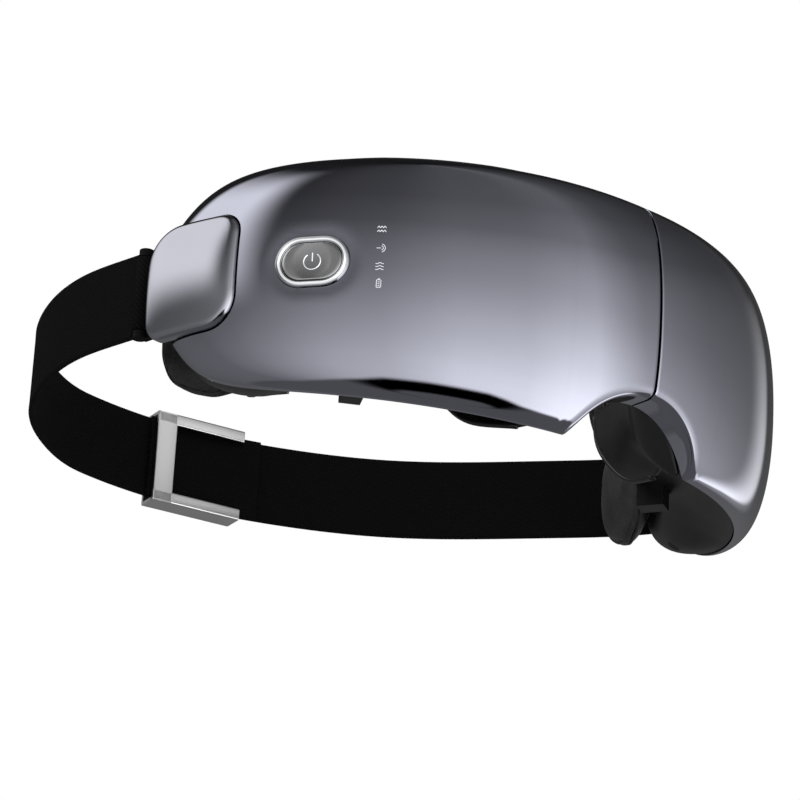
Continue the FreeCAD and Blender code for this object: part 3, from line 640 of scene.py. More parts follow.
def front_cover(name, side):
    columns = [cover_column(arc, extra) for arc, extra in cover_arcs()]
    points = np.stack(columns)
    if side < 0:
        points = sink_round_button(points)
    cover = sheet("front_cover_look_" + name, points, gunmetal, side)
    face_outwards(cover, (side * 40.0, 60.0, 0.0))
    thicken(cover, COVER_THICK)
    cutters = [cutter(tab_outline(-TAB_GROOVE), (-6.0, 1.0, 8.0, 15.0), tab_arc_point, side)]
    if side < 0:
        hole = stadium_outline(BEZEL_WIDTH + BEZEL_GAP, BEZEL_HEIGHT + BEZEL_GAP)
        cutters.append(cutter(hole, (-4.0, 12.0), button_point, side))
    cut(cover, *cutters)
    sharpen(cover, 50)
    return place(cover, name + "_module", "gunmetal_shell", "front_cover_" + name)


# Temple cover

def tab_point(line, drop):
    """Tab surface over an outline: a pillow crowned both ways, sunk by drop."""
    middle = (TAB_TOP + TAB_BOTTOM) / 2
    half = (TAB_TOP - TAB_BOTTOM) / 2
    share = (line[:, 1] - middle) / half
    along = line[:, 0] / TAB_HALF
    proud = TAB_EDGE_PROUD + (TAB_PROUD - TAB_EDGE_PROUD) * (1 - share ** 2) * (1 - 0.45 * along ** 4)
    return arc_point(TAB_ARC + line[:, 0], drop - proud, line[:, 1])


def temple_cover(name, side):
    rings = []
    base = tab_outline(0.0)
    rings.append(arc_point(TAB_ARC + base[:, 0], 2.8, base[:, 1]))
    for turn in np.linspace(0, math.pi / 2, 8):
        inset = TAB_FILLET * (1 - math.sin(turn))
        drop = TAB_FILLET * (1 - math.cos(turn))
        rings.insert(1, tab_point(tab_outline(inset), drop))
    inner = tab_outline(TAB_FILLET)
    centre = vec(0.0, (TAB_TOP + TAB_BOTTOM) / 2)
    for scale in np.linspace(1.0, 0.02, 18)[1:]:
        rings.append(tab_point(centre + (inner - centre) * scale, 0.0))
    tab = loft("temple_cover_look_" + name, rings, silver, side)
    sharpen(tab, 60)
    return place(tab, name + "_module", "temple_silver", "temple_cover_" + name)


# Power button and symbols

def button_rings(section, width, height):
    """Rings in the button's frame from (inset, height above the surface) pairs."""
    rings = []
    for inset, proud in section:
        line = stadium_outline(width, height, inset)
        rings.append(button_point(line[:, 0], -proud, line[:, 1]))
    return rings


def button_bezel():
    """Dark bezel, and the bright bead that lies in it; the bead's glow is a painted highlight."""
    for name, section, material, sharp, nodes in (
            ("button_bezel_look", BEZEL_SECTION, chrome, 60, ["button_bezel"]),
            ("button_ring_painted_glow", BRIGHT_RING_SECTION, painted_glow_chrome, 70, [])):
        rings = button_rings(section, BEZEL_WIDTH, BEZEL_HEIGHT)
        ring = loft(name, rings, material, -1, closed=True)
        sharpen(ring, sharp)
        place(ring, "right_module", "chrome_trim", *nodes)


def cap_dish(radius):
    return DISH_DEPTH * np.maximum(1 - (radius / DISH_RADIUS) ** 2, 0)


def power_cap():
    """Oval cap with a round dish in its middle, on its stem."""
    shrink = 2 * (BEZEL_RING + CAP_CLEARANCE)
    width, height = BEZEL_WIDTH - shrink, BEZEL_HEIGHT - shrink
    rings = button_rings([(0.0, -2.6), (0.0, CAP_PROUD - 0.4), (0.1, CAP_PROUD - 0.14), (0.35, CAP_PROUD)],
                         width, height)
    line = stadium_outline(width, height, 0.35)
    radius = np.linalg.norm(line, axis=1)
    rim = np.minimum(radius, DISH_RADIUS)
    for share in (0.35, 0.7, 1.0):
        reach = radius + (rim - radius) * share
        spot = line * (reach / radius)[:, None]
        rings.append(button_point(spot[:, 0], -CAP_PROUD + cap_dish(reach), spot[:, 1]))
    for scale in np.linspace(1.0, 0.02, 12)[1:]:
        spot = line * (rim * scale / radius)[:, None]
        rings.append(button_point(spot[:, 0], -CAP_PROUD + cap_dish(rim * scale), spot[:, 1]))
    cap = loft("power_cap", rings, satin, -1)
    sharpen(cap, 35)
    round_line = stadium_outline(STEM_WIDTH, STEM_WIDTH, 0.0, 24)
    ends = [button_point(round_line[:, 0], depth, round_line[:, 1]) for depth in STEM_DEPTHS]
    stem = loft("power_stem", ends, satin, -1)
    sharpen(stem, 40)
    whole = join("power_button_look", cap, stem)
    return place(whole, "power_button", "button_cap", "power_button")


def power_symbol():
    """Raised power sign in the dish: an open ring and a short upright line."""
    turn = np.radians(np.linspace(125, 415, 40))
    ring = SIGN_RADIUS * np.stack([np.cos(turn), np.sin(turn)], axis=-1)
    line = np.stack([np.zeros(10), np.linspace(0.0, SIGN_RADIUS + 0.15, 10)], axis=-1)
    pieces = []
    for path in (ring, line):
        reach = np.linalg.norm(path, axis=1)
        centre = button_point(path[:, 0], -CAP_PROUD + cap_dish(reach), path[:, 1])
        # The power sign uses the same finish, so its glow is a painted highlight too.
        pieces.append(bead("sign", centre, 0.15, painted_glow_chrome, -1))
    sign = join("power_sign", *pieces)
    sign.data.shade_smooth()
    place(sign, "power_button", "chrome_trim")


def icon_strokes():
    """Symbol lines by height on the cover; across grows towards the centre seam."""
    zigzag = [(-1.2 + 0.4 * k, 0.3 if k % 2 else -0.3) for k in range(7)]
    upper = [(a, u + 0.6) for a, u in zigzag]
    lower = [(a, u - 0.6) for a, u in zigzag]
    turn = np.radians(np.linspace(-75, 75, 14))
    arcs = [[(0.05 + r * math.cos(t), r * math.sin(t)) for t in turn] for r in (0.65, 1.2)]
    dot = [(-1.1, 0.0), (0.1, 0.0)]
    wave = [(-1.1 + 0.2 * k, 0.16 * math.sin(k * 0.75 + 3.4)) for k in range(12)]
    waves = [[(a, u + shift) for a, u in wave] for shift in (0.85, 0.0, -0.85)]
    case = [(-0.6, -1.2), (-0.6, 0.95), (0.6, 0.95), (0.6, -1.2), (-0.6, -1.2)]
    cells = [[(-0.28, up), (0.28, up)] for up in (-0.75, -0.2, 0.35)]
    knob = [(-0.25, 1.25), (0.25, 1.25)]
    return [(7.9, [upper, lower]), (2.2, arcs + [dot]), (-3.1, waves), (-8.0, [case, knob] + cells)]


def stroke(path, height):
    """A thin raised line that lies on the front cover."""
    path = even_steps(path, max(6, 4 * len(path)))
    ahead = np.gradient(path, axis=0)
    ahead /= np.linalg.norm(ahead, axis=1)[:, None]
    across = np.stack([-ahead[:, 1], ahead[:, 0]], axis=-1) * ICON_LINE / 2
    corners = []
    for offset, proud in ((-1, -0.1), (-1, 0.05), (1, 0.05), (1, -0.1)):
        spot = path + across * offset
        arc = ICON_ARC - spot[:, 0]
        up = height + spot[:, 1]
        corners.append(arc_point(arc, crown_depth(arc, up) - proud, up))
    # The symbol lines carry the icon finish, with its painted glow.
    return loft("stroke", np.stack(corners, axis=1), icon_white, -1)


def indicator_symbols():
    pieces = [stroke(path, height) for height, strokes in icon_strokes() for path in strokes]
    place(join("indicator_symbols", *pieces), "right_module", "icon_white", "indicator_windows")


# Rear housing

HOUSING_RIBS = [
    # (front arc, rear x, rear y, rear top z, rear bottom z, fullness of the underside)
    (17.5, 29.5, 37.5, 14.0, -20.5, 0.0),
    (30.0, 36.5, 40.8, 19.0, -21.0, 0.0),
    (48.0, 44.0, 43.5, 21.0, -21.0, 0.0),
    (82.0, 60.5, 52.0, 22.0, -20.5, 0.12),
    (100.0, 67.8, 58.5, 21.0, -20.0, 0.45),
    (116.0, 75.0, 68.0, 19.5, -20.0, 0.95),
    (136.0, 82.5, 78.5, 15.0, -17.0, 1.0),
    (149.0, 87.8, 86.0, 12.0, -12.0, 0.8),
]
# Height of the housing's rim over the cover's top edge, by arc
RIM_RISE_ARCS = [0.0, 25.0, 50.0, 85.0, 108.0, 126.0]
RIM_RISE = [0.0, 0.35, 0.85, 0.9, 0.5, -0.5]
# How full the section is over its top and how fast its underside tucks up
HOUSING_ROUND = 2.6
HOUSING_TUCK = 1.7
# Shares of height and reach that are left at the closed ends
HOUSING_END_HEIGHT = 0.80
HOUSING_END_REACH = 0.72
CLOSING_RINGS = 4
EYELET_PLACE = (80.0, 63.5, -28.0)
EYELET_HALF_WIDTH = 0.9
EYELET_HALF_LENGTH = 1.8
EYELET_BEAD = 0.28


def drawn_in(end_share, closing):
    """Share of a size: end_share at a closed end, 1 away from it."""
    return end_share + (1 - end_share) * closing


def housing_ring(rib, closing):
    """One upright section: rounded over at the rear, hanging low near the temple."""
    arc, rear_x, rear_y, rear_top, rear_bottom, full = rib
    front = arc_point(arc, COVER_DEPTH + 0.3, 0.0)
    rear = vec(rear_x, rear_y, 0.0)
    front_top = top_edge(arc) + np.interp(arc, RIM_RISE_ARCS, RIM_RISE)
    front_bottom = bottom_edge(arc) + 0.5
    arch_top = ARCH_CENTRE_Z + math.sqrt(max((ARCH_RADIUS + 0.9) ** 2 - front[0] ** 2, 0))
    front_bottom = max(front_bottom, arch_top) if front[0] < ARCH_RADIUS else front_bottom
    share = np.sin(np.linspace(0, math.pi / 2, 20))
    drop = np.sqrt(np.maximum(1 - share ** HOUSING_ROUND, 0))
    under_drop = full * drop + (1 - full) * (1 - share) ** HOUSING_TUCK
    over = np.stack([share, rear_top + (front_top - rear_top) * drop], axis=-1)
    under = np.stack([share, rear_bottom + (front_bottom - rear_bottom) * under_drop], axis=-1)
    back = np.linspace(rear_top, rear_bottom, 10)[1:-1]
    back = np.stack([np.ones(8), back], axis=-1)
    shut = np.linspace(front_bottom, front_top, 10)[1:-1]
    shut = np.stack([np.zeros(8), shut], axis=-1)
    ring = np.vstack([over, back, under[::-1], shut])
    middle = ring.mean(axis=0)
    ring[:, 1] = middle[1] + (ring[:, 1] - middle[1]) * drawn_in(HOUSING_END_HEIGHT, closing)
    run = rear - front
    reach = ring[:, :1] * drawn_in(HOUSING_END_REACH, closing)
    return front + reach * run + ring[:, 1:] * vec(0, 0, 1)


def rib_rings(ribs, count, ring):
    """Rings over evenly resampled ribs, drawn in over the last few at each end."""
    rows = smooth_rows(ribs, count)
    rings = []
    for index, rib in enumerate(rows):
        edge = min(index, count - 1 - index) / CLOSING_RINGS
        rings.append(ring(rib, math.sqrt(1 - (1 - min(edge, 1.0)) ** 2)))
    return rings


def rear_housing(name, side):
    housing = loft("rear_housing_look_" + name, rib_rings(HOUSING_RIBS, 64, housing_ring), soft_touch, side)
    sharpen(housing, 50)
    return place(housing, name + "_module", "soft_touch_black", "rear_housing_" + name)


def vent_eyelet(name, side, housing):
    """Small oval rim let into the low bulge of the rear housing."""
    tree = BVHTree.FromObject(housing, bpy.context.evaluated_depsgraph_get())
    turn = np.linspace(0, 2 * math.pi, 28, endpoint=False)[:, None]
    across = vec(0.75, 0.55, -0.35) * EYELET_HALF_WIDTH
    along = vec(0.35, -0.35, -0.85) * EYELET_HALF_LENGTH
    path = vec(*EYELET_PLACE) + np.cos(turn) * across + np.sin(turn) * along
    laid = on_surface(path * (side, 1, 1), tree, 0.0) * (side, 1, 1)
    eyelet = bead("vent_eyelet_" + name, laid, EYELET_BEAD, black_plastic, side, closed=True)
    place(eyelet, name + "_module", "black_plastic")


# Face pad

PAD_RIBS = [
    # (front x, front y, rear x, rear y, top z, bottom z)
    (29.6, 38.6, 31.0, 46.5, 11.0, -19.5),
    (44.0, 44.3, 41.0, 52.5, 19.0, -20.0),
    (60.2, 52.8, 54.0, 59.5, 20.5, -19.0),
    (73.1, 66.8, 65.5, 71.5, 19.0, -21.6),
    (82.4, 81.5, 74.5, 85.5, 15.0, -24.2),
    (86.5, 92.5, 79.0, 96.0, 10.0, -19.5),
    (87.5, 98.5, 81.5, 100.5, 6.0, -12.0),
]
EYE_X, EYE_Y, EYE_Z, EYE_TURN = 46.0, 50.0, -1.0, 20.0
EYE_WIDTH, EYE_HEIGHT = 30.0, 24.0
PAD_SQUARENESS = 3.4
PAD_END_THICK = 0.45
PAD_END_HEIGHT = 0.62
PAD_VOXEL = 2.4
PAD_CAP = 1.1
PAD_PRESSURE = 4.0
PIPING_SHARES = (0.30, 0.68)
PIPING_RADIUS = 0.6


def pad_ring(rib, closing):
    front = vec(rib[0], rib[1], 0)
    rear = vec(rib[2], rib[3], 0)
    middle = (front + rear) / 2
    run = (rear - front) / 2 * drawn_in(PAD_END_THICK, closing)
    half = (rib[4] - rib[5]) / 2 * drawn_in(PAD_END_HEIGHT, closing)
    turn = np.linspace(0, 2 * math.pi, 44, endpoint=False)
    power = 2 / PAD_SQUARENESS
    inwards = np.sign(np.cos(turn)) * np.abs(np.cos(turn)) ** power
    up = np.sign(np.sin(turn)) * np.abs(np.sin(turn)) ** power
    height = (rib[4] + rib[5]) / 2 + half * up
    return middle + inwards[:, None] * run + height[:, None] * vec(0, 0, 1)


def eye_point(across, inwards, up):
    """A point in the frame of the eye opening."""
    turn = math.radians(EYE_TURN)
    across, inwards, up = np.broadcast_arrays(np.asarray(across, float), inwards, up)
    x = EYE_X + across * math.cos(turn) - inwards * math.sin(turn)
    y = EYE_Y + across * math.sin(turn) + inwards * math.cos(turn)
    return np.stack([x, y, EYE_Z + up], axis=-1)


def inflate(piece, pressure, cap):
    """Puffs a closed cloth out with inner pressure, and caps how far any point moves."""
    mesh = piece.data
    rest = np.zeros(len(mesh.vertices) * 3)
    mesh.vertices.foreach_get("co", rest)
    cloth = piece.modifiers.new("puff", "CLOTH")
    cloth.settings.quality = 6
    cloth.settings.mass = 0.1
    cloth.settings.use_pressure = True
    cloth.settings.uniform_pressure_force = pressure
    cloth.settings.effector_weights.gravity = 0.0
    for step in range(1, 21):
        scene.frame_set(step)
    shaped = piece.evaluated_get(bpy.context.evaluated_depsgraph_get())
    puffed = np.zeros(len(rest))
    shaped.data.vertices.foreach_get("co", puffed)
    moved = (puffed - rest).reshape(-1, 3)
    length = np.linalg.norm(moved, axis=1)[:, None]
    moved *= np.minimum(1.0, cap * MM / np.maximum(length, 1e-9))
    piece.modifiers.clear()
    mesh.vertices.foreach_set("co", rest + moved.ravel())
    mesh.update()
    scene.frame_set(1)


def face_pad_shape():
    pad = loft("pad_shape", rib_rings(PAD_RIBS, 40, pad_ring), pad_skin)
    cut(pad, cutter(stadium_outline(EYE_WIDTH, EYE_HEIGHT), (-25.0, 25.0), eye_point))
    remesh = pad.modifiers.new("even", "REMESH")
    remesh.mode = "VOXEL"
    remesh.voxel_size = PAD_VOXEL * MM
    apply_modifiers(pad)
    inflate(pad, PAD_PRESSURE, PAD_CAP)
    smooth = pad.modifiers.new("smooth", "SMOOTH")
    smooth.factor = 0.5
    smooth.iterations = 2
    finer = pad.modifiers.new("finer", "SUBSURF")
    finer.levels = 1
    finer.render_levels = 1
    apply_modifiers(pad)
    pad.data.shade_smooth()
    return pad


def seam_path(share):
    """Line round the edge of the pad, at a share of its thickness from the housing to the skin."""
    ribs = smooth_rows(PAD_RIBS, 40)
    over, under = [], []
    for rib in ribs:
        spot = vec(rib[0], rib[1], 0) * (1 - share) + vec(rib[2], rib[3], 0) * share
        over.append(spot + vec(0, 0, rib[4] + 4))
        under.append(spot + vec(0, 0, rib[5] - 4))
    last = vec(*(np.asarray(over[-1]) + under[-1]) / 2)
    ahead = (vec(ribs[-1][0], ribs[-1][1], 0) - vec(ribs[-3][0], ribs[-3][1], 0))
    tip = last + ahead / np.linalg.norm(ahead) * 6
    path = over + [over[-1] * 0.5 + tip * 0.5, tip, under[-1] * 0.5 + tip * 0.5] + under[::-1]
    return even_steps(path, 150, closed=True)


def eye_path(inwards, grow):
    line = stadium_outline(EYE_WIDTH + grow, EYE_HEIGHT + grow, 0.0, 90)
    return eye_point(line[:, 0], inwards, line[:, 1])


def on_surface(path, tree, lift):
    """The path laid on a surface, raised a little."""
    laid = []
    for point in path:
        spot, normal, _, _ = tree.find_nearest(Vector(point * MM))
        laid.append(np.array(spot + normal * lift * MM) / MM)
    return np.array(laid)


def settle(path, rounds=3):
    """Evens out a closed path."""
    for _ in range(rounds):
        path = (np.roll(path, 1, axis=0) + 2 * path + np.roll(path, -1, axis=0)) / 4
    return path


def piping_paths(tree):
    """Lines of the welts on the pad: two round its edge and one round the eye opening."""
    paths = [seam_path(share) for share in PIPING_SHARES] + [eye_path(6.5, 3.0)]
    return [settle(on_surface(path, tree, 0.1)) for path in paths]


def face_pads():
    master = face_pad_shape()
    tree = BVHTree.FromObject(master, bpy.context.evaluated_depsgraph_get())
    paths = piping_paths(tree)
    points = np.array([v.co for v in master.data.vertices]) / MM
    faces = [tuple(p.vertices) for p in master.data.polygons]
    bpy.data.objects.remove(master)
    for name, side in SIDES.items():
        pad = new_piece("face_pad_look_" + name, points, faces, pad_skin, side, weld=False)
        place(pad, name + "_module", "pad_leatherette", "face_pad_" + name)
        welts = [bead("welt", path, PIPING_RADIUS, pad_skin, side, closed=True) for path in paths]
        piping = join("pad_piping_" + name, *welts)
        piping.data.shade_smooth()
        place(piping, name + "_module", "pad_leatherette")


# Airbag and heating film inside the eye opening

# Layers in the eye opening: width, height, depth of their foot, thickness and rise of the dome
AIRBAG = (29.0, 23.0, 0.3, 3.6, 0.6)
HEATING_FILM = (28.6, 22.6, 4.9, 0.7, 1.3)
WIRE_ROWS = 7
WIRE_PITCH = 2.5
WIRE_REACH = 10.0
WIRE_RADIUS = 0.32


def eye_pillow(name, side, material, width, height, low, thick, dome):
    """Soft layer that fills the eye opening, domed towards the wearer."""
    line = stadium_outline(width, height, 0.0, 72)
    scales = np.concatenate([[1.0, 1.0], 1 - np.linspace(0, 0.97, 16)[1:]])
    rings = [eye_point(line[:, 0] * scale, low, line[:, 1] * scale) for scale in (0.03, 0.97)]
    for index, scale in enumerate(scales):
        lift = 0.5 if index == 0 else 1.0
        puff = dome * (1 - scale ** 3)
        quilt = 0.22 * np.cos(line[:, 0] * scale * 1.15) * np.cos(line[:, 1] * scale * 1.15) * (1 - scale)
        rings.append(eye_point(line[:, 0] * scale, low + thick * lift + puff + quilt, line[:, 1] * scale))
    return loft(name, rings, material, side)


def heater_lines(side):
    """Raised zigzag of the heating wire under the film."""
    path = []
    for row in range(WIRE_ROWS):
        up = (row - (WIRE_ROWS - 1) / 2) * WIRE_PITCH
        reach = WIRE_REACH - 0.06 * up ** 2
        ends = (-reach, reach) if row % 2 == 0 else (reach, -reach)
        for across in np.linspace(ends[0], ends[1], 12):
            path.append((across, up))
    path = even_steps(path, 260)
    share = np.abs(path) / vec(12.6, 9.6)
    scale = np.clip(np.max(share, axis=1), 0, 1)
    inwards = 5.6 + 1.3 * (1 - scale ** 3)
    return bead("wire", eye_point(path[:, 0], inwards, path[:, 1]), WIRE_RADIUS, film_cloth, side, 6)


def eye_layers(name, side):
    bag = eye_pillow("airbag_look_" + name, side, bag_cloth, *AIRBAG)
    sharpen(bag, 60)
    place(bag, name + "_module", "airbag_fabric", "airbag_" + name)
    film = eye_pillow("film", side, film_cloth, *HEATING_FILM)
    whole = join("heating_film_look_" + name, film, heater_lines(side))
    sharpen(whole, 60)
    place(whole, name + "_module", "heater_film", "heating_film_" + name)


# Nose wings and bridge gusset

WING_ROWS = [
    # arch wall, leaf crease, cup floor, cup step and rim, each from the bridge down to the arch corner
    [(7.0, 0.6, -20.0), (12.5, 1.6, -24.0), (17.0, 2.0, -28.5), (20.2, 2.6, -33.5), (22.4, 3.0, -39.0)],
    [(8.0, 8.0, -19.5), (13.0, 11.5, -22.5), (17.0, 13.0, -27.5), (19.6, 11.0, -32.5), (21.6, 5.5, -38.0)],
    [(16.0, 18.0, -12.5), (20.5, 22.5, -17.5), (22.5, 22.0, -23.0), (23.2, 17.5, -28.5), (22.8, 10.0, -34.5)],
    [(25.5, 33.5, -7.5), (26.8, 35.0, -15.5), (27.2, 31.0, -24.5), (26.4, 23.5, -30.8), (24.4, 13.5, -35.0)],
    [(30.0, 46.5, -7.5), (30.6, 45.0, -17.0), (30.6, 38.5, -25.5), (29.6, 30.0, -31.5), (25.6, 16.0, -35.2)],
]
WING_THICK = 1.1
WING_RIM_RADIUS = 0.85
GUSSET_HALF = 12.6
PLEAT_PITCH = 4.2
PLEAT_DEPTH = 0.55


def nose_wing(name, side):
    rows = [smooth_rows(row, 26) for row in WING_ROWS]
    columns = [smooth_rows([row[k] for row in rows], 30) for k in range(26)]
    points = np.stack(columns)
    wing = sheet("nose_wing_sheet", points, wing_rubber, side)
    thicken(wing, WING_THICK, 0.0)
    rim = bead("nose_wing_rim", points[:, -1], WING_RIM_RADIUS, wing_rubber, side)
    whole = join("nose_wing_look_" + name, wing, rim)
    whole.data.shade_smooth()
    place(whole, name + "_module", "silicone_black", "nose_wing_" + name)


def bridge_gusset():
    """Pleated soft boot behind the hinge."""
    across = np.linspace(-GUSSET_HALF, GUSSET_HALF, 61)
    share = across / GUSSET_HALF
    pleat = PLEAT_DEPTH * np.cos(across * 2 * math.pi / PLEAT_PITCH) * np.clip(1.2 - np.abs(share), 0, 1)
    line = 6.9 - 1.9 * share ** 2 + pleat
    rows = [[(x, y, z) for x, y in zip(across, line)] for z in np.linspace(-21.0, 26.5, 20)]
    boot = sheet("bridge_gusset_look", rows, wing_rubber)
    thicken(boot, 0.9, 0.0)
    sharpen(boot, 60)
    place_across_fold(boot, "bridge_gusset")


def flex_cable():
    """Thin ribbon cable across the fold."""
    across = np.linspace(-10.8, 10.8, 31)
    rows = [[(x, 4.15, z) for x in across] for z in np.linspace(14.0, 20.0, 4)]
    ribbon = sheet("flex_cable_look", rows, flex_orange)
    thicken(ribbon, 0.18, 0.0)
    sharpen(ribbon, 50)
    place_across_fold(ribbon, "flex_cable")


# Strap

def clamped_spline(points, start, end, count=400):
    """Smooth line through plan points with set end directions."""
    points = np.asarray(points, float)
    steps = np.linalg.norm(np.diff(points, axis=0), axis=1)
    knots = np.concatenate([[0], np.cumsum(steps)])
    size = len(points)
    matrix = np.zeros((size, size))
    wanted = np.zeros((size, 2))
    matrix[0, 0] = matrix[-1, -1] = 1
    wanted[0] = np.asarray(start) / np.linalg.norm(start)
    wanted[-1] = np.asarray(end) / np.linalg.norm(end)
    for k in range(1, size - 1):
        before, after = steps[k - 1], steps[k]
        matrix[k, k - 1:k + 2] = (after, 2 * (before + after), before)
        slope_before = (points[k] - points[k - 1]) / before
        slope_after = (points[k + 1] - points[k]) / after
        wanted[k] = 3 * (after * slope_before + before * slope_after)
    slopes = np.linalg.solve(matrix, wanted)
    place_on = np.linspace(0, knots[-1], count)
    index = np.minimum(np.searchsorted(knots, place_on, side="right") - 1, size - 2)
    step = steps[index][:, None]
    t = ((place_on - knots[index]) / steps[index])[:, None]
    return (points[index] * (1 - 3 * t ** 2 + 2 * t ** 3) + slopes[index] * step * (t - 2 * t ** 2 + t ** 3)
            + points[index + 1] * (3 * t ** 2 - 2 * t ** 3) + slopes[index + 1] * step * (t ** 3 - t ** 2))


def circle_through(points, count=200):
    """Arc through three plan points, with its end directions."""
    first, middle, last = (np.asarray(p, float) for p in points)
    rows = 2 * np.array([middle - first, last - first])
    right_side = np.array([middle @ middle - first @ first, last @ last - first @ first])
    centre = np.linalg.solve(rows, right_side)
    radius = np.linalg.norm(first - centre)
    start = math.atan2(*(first - centre)[::-1])
    end = math.atan2(*(last - centre)[::-1])
    turn = np.linspace(start, end, count)
    line = centre + radius * np.stack([np.cos(turn), np.sin(turn)], axis=-1)
    return line, vec(math.sin(start), -math.cos(start)), vec(math.sin(end), -math.cos(end))


rear_line, rear_start, rear_end = circle_through(STRAP_REAR)
right_line = clamped_spline(STRAP_RIGHT, (-0.1, 1.0), rear_start)
left_line = clamped_spline(STRAP_LEFT, rear_end, (0.3, -1.0))


def line_length(line):
    return float(np.linalg.norm(np.diff(line, axis=0), axis=1).sum())


strap_line = np.vstack([right_line, rear_line[1:], left_line[1:]])
strap_reach = np.concatenate([[0], np.cumsum(np.linalg.norm(np.diff(strap_line, axis=0), axis=1))])
RIGHT_LENGTH = line_length(right_line)
REAR_LENGTH = line_length(rear_line)
LEFT_LENGTH = line_length(left_line)
JOINTS = [0.0, RIGHT_LENGTH * JOINT_1_SHARE, RIGHT_LENGTH, RIGHT_LENGTH + REAR_LENGTH,
          RIGHT_LENGTH + REAR_LENGTH + LEFT_LENGTH * JOINT_4_SHARE, strap_reach[-1]]


def strap_spot(reach):
    """Plan point and side direction of the strap at a distance from its right end."""
    reach = np.asarray(reach, float)
    spot = np.stack([np.interp(reach, strap_reach, strap_line[:, k]) for k in range(2)], axis=-1)
    ahead = np.stack([np.interp(reach + 0.6, strap_reach, strap_line[:, k])
                      - np.interp(reach - 0.6, strap_reach, strap_line[:, k]) for k in range(2)], axis=-1)
    ahead /= np.linalg.norm(ahead, axis=-1)[..., None]
    return spot, np.stack([-ahead[..., 1], ahead[..., 0]], axis=-1)


def band_section(width, thick):
    """Flat section with round edges and a thin raised selvedge: (side offset, height) pairs."""
    half = width / 2
    edge = thick / 2
    turn = np.linspace(-math.pi / 2, math.pi / 2, 7)
    rim = [(edge * math.sin(t), half - edge + edge * math.cos(t)) for t in turn]
    flat = np.linspace(half - edge - 0.4, -half + edge + 0.4, 13)
    face = [(edge * (0.93 if abs(z) < half - 2.2 else 1.0), z) for z in flat]
    ring = rim + face
    return np.array(ring + [(-o, -z) for o, z in ring])


def band(name, reaches, offset=0.0, thick=STRAP_THICK):
    """A strap length: its section carried along the strap line, with its flat map for the weave."""
    section = band_section(STRAP_WIDTH, thick)
    rings = []
    for spot, side in zip(*strap_spot(reaches)):
        plan = spot + (section[:, :1] + offset) * side
        rings.append(np.column_stack([plan, section[:, 1]]))
    piece = loft(name, rings, elastic, weld=False)
    weave_map(piece, np.repeat(reaches, len(section)), np.tile(section[:, 1], len(reaches)))
    sharpen(piece, 70)
    return piece


def weave_map(piece, along, across):
    """Flat map in metres, along and across the strap."""
    layer = piece.data.uv_layers.new(name="weave")
    corners = np.zeros(len(piece.data.loops), int)
    piece.data.loops.foreach_get("vertex_index", corners)
    flat = np.column_stack([along[corners], across[corners]]) * MM
    layer.data.foreach_set("uv", flat.ravel())


def strap_end_loop(name, x, start_reach, end_reach, clearance):
    """Sewn loop round a strap bar and the length that leaves it, in one piece."""
    reaches = np.linspace(start_reach, end_reach, 26)
    body = band(name, reaches)
    turn = np.linspace(0, 2 * math.pi, 33)[:-1]
    inner = BAR_RADIUS + clearance
    edge = [(0.0, 0.2), (0.35, 0.0), (0.8, 0.0), (1.1, 0.3)]
    upper = [(inner + out, LOOP_HALF_WIDTH - drop) for out, drop in edge]
    section = [(inner, 0.2 - LOOP_HALF_WIDTH)] + upper + [(out, -up) for out, up in upper[:0:-1]]
    rings = []
    for angle in turn:
        rings.append([(x + math.cos(angle) * out, BAR_Y + math.sin(angle) * out, up) for out, up in section])
    loop = loft("loop", rings, elastic, closed=True, weld=False)
    along = np.repeat(turn * inner, 8)
    weave_map(loop, along, np.array(rings)[:, :, 2].ravel())
    sharpen(loop, 60)
    return join(name, body, loop)


def strap_pieces():
    """Six lengths cut at the middle of the links, so that each bend falls inside one of them."""
    middles = [(JOINTS[k] + JOINTS[k + 1]) / 2 for k in range(5)]
    first = strap_end_loop("strap_0", -BAR_X, RIGHT_END[0], middles[0], RIGHT_END[1])
    place(first, "strap_link_1", "elastic_black", "strap_link_1")
    for k in range(4):
        count = int((middles[k + 1] - middles[k]) / 1.6)
        piece = band(f"strap_{k + 1}", np.linspace(middles[k], middles[k + 1], count))
        spots, _ = strap_spot(JOINTS[k + 1] + np.array([-BEND_REACH, BEND_REACH]))
        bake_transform(piece)
        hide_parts(f"strap_link_{k + 2}")
    last = strap_end_loop("strap_5", BAR_X, middles[4], JOINTS[5] - LEFT_END[0], LEFT_END[1])
    place(last, "strap_link_5", "elastic_black", "strap_link_5")


def strap_tail():
    reaches = RIGHT_LENGTH + REAR_LENGTH * np.linspace(*TAIL_SHARES, 34)
    tail = band("strap_tail_look", reaches, TAIL_OFFSET, TAIL_THICK)
    place(tail, "strap_link_3", "elastic_black", "strap_tail")


# Strap adjuster

GLIDE_LENGTH = 29.5
GLIDE_SHARE = 0.61
GLIDE_BAR = 6.5
RAIL_OUTER = 14.5
LIP_EDGE = 10.9
GLIDE_BACK = -4.7
GLIDE_FRONT = 3.1


def glide_point(along, side_offset, up):
    reach = RIGHT_LENGTH + GLIDE_SHARE * REAR_LENGTH
    spot, side = strap_spot(reach)
    ahead = vec(side[1], -side[0])
    along, side_offset, up = np.broadcast_arrays(np.asarray(along, float), side_offset, up)
    plan = spot + along[..., None] * ahead + side_offset[..., None] * side
    return np.concatenate([plan, up[..., None]], axis=-1)


def round_corners(points, radius, steps=4):
    """A closed outline with each corner rounded."""
    points = np.asarray(points, float)
    rounded = []
    for k, corner in enumerate(points):
        before = points[k - 1] - corner
        after = points[(k + 1) % len(points)] - corner
        reach = min(radius, 0.49 * np.linalg.norm(before), 0.49 * np.linalg.norm(after))
        start = corner + before / np.linalg.norm(before) * reach
        end = corner + after / np.linalg.norm(after) * reach
        for t in np.linspace(0, 1, steps):
            rounded.append((1 - t) ** 2 * start + 2 * t * (1 - t) * corner + t ** 2 * end)
    return np.array(rounded)


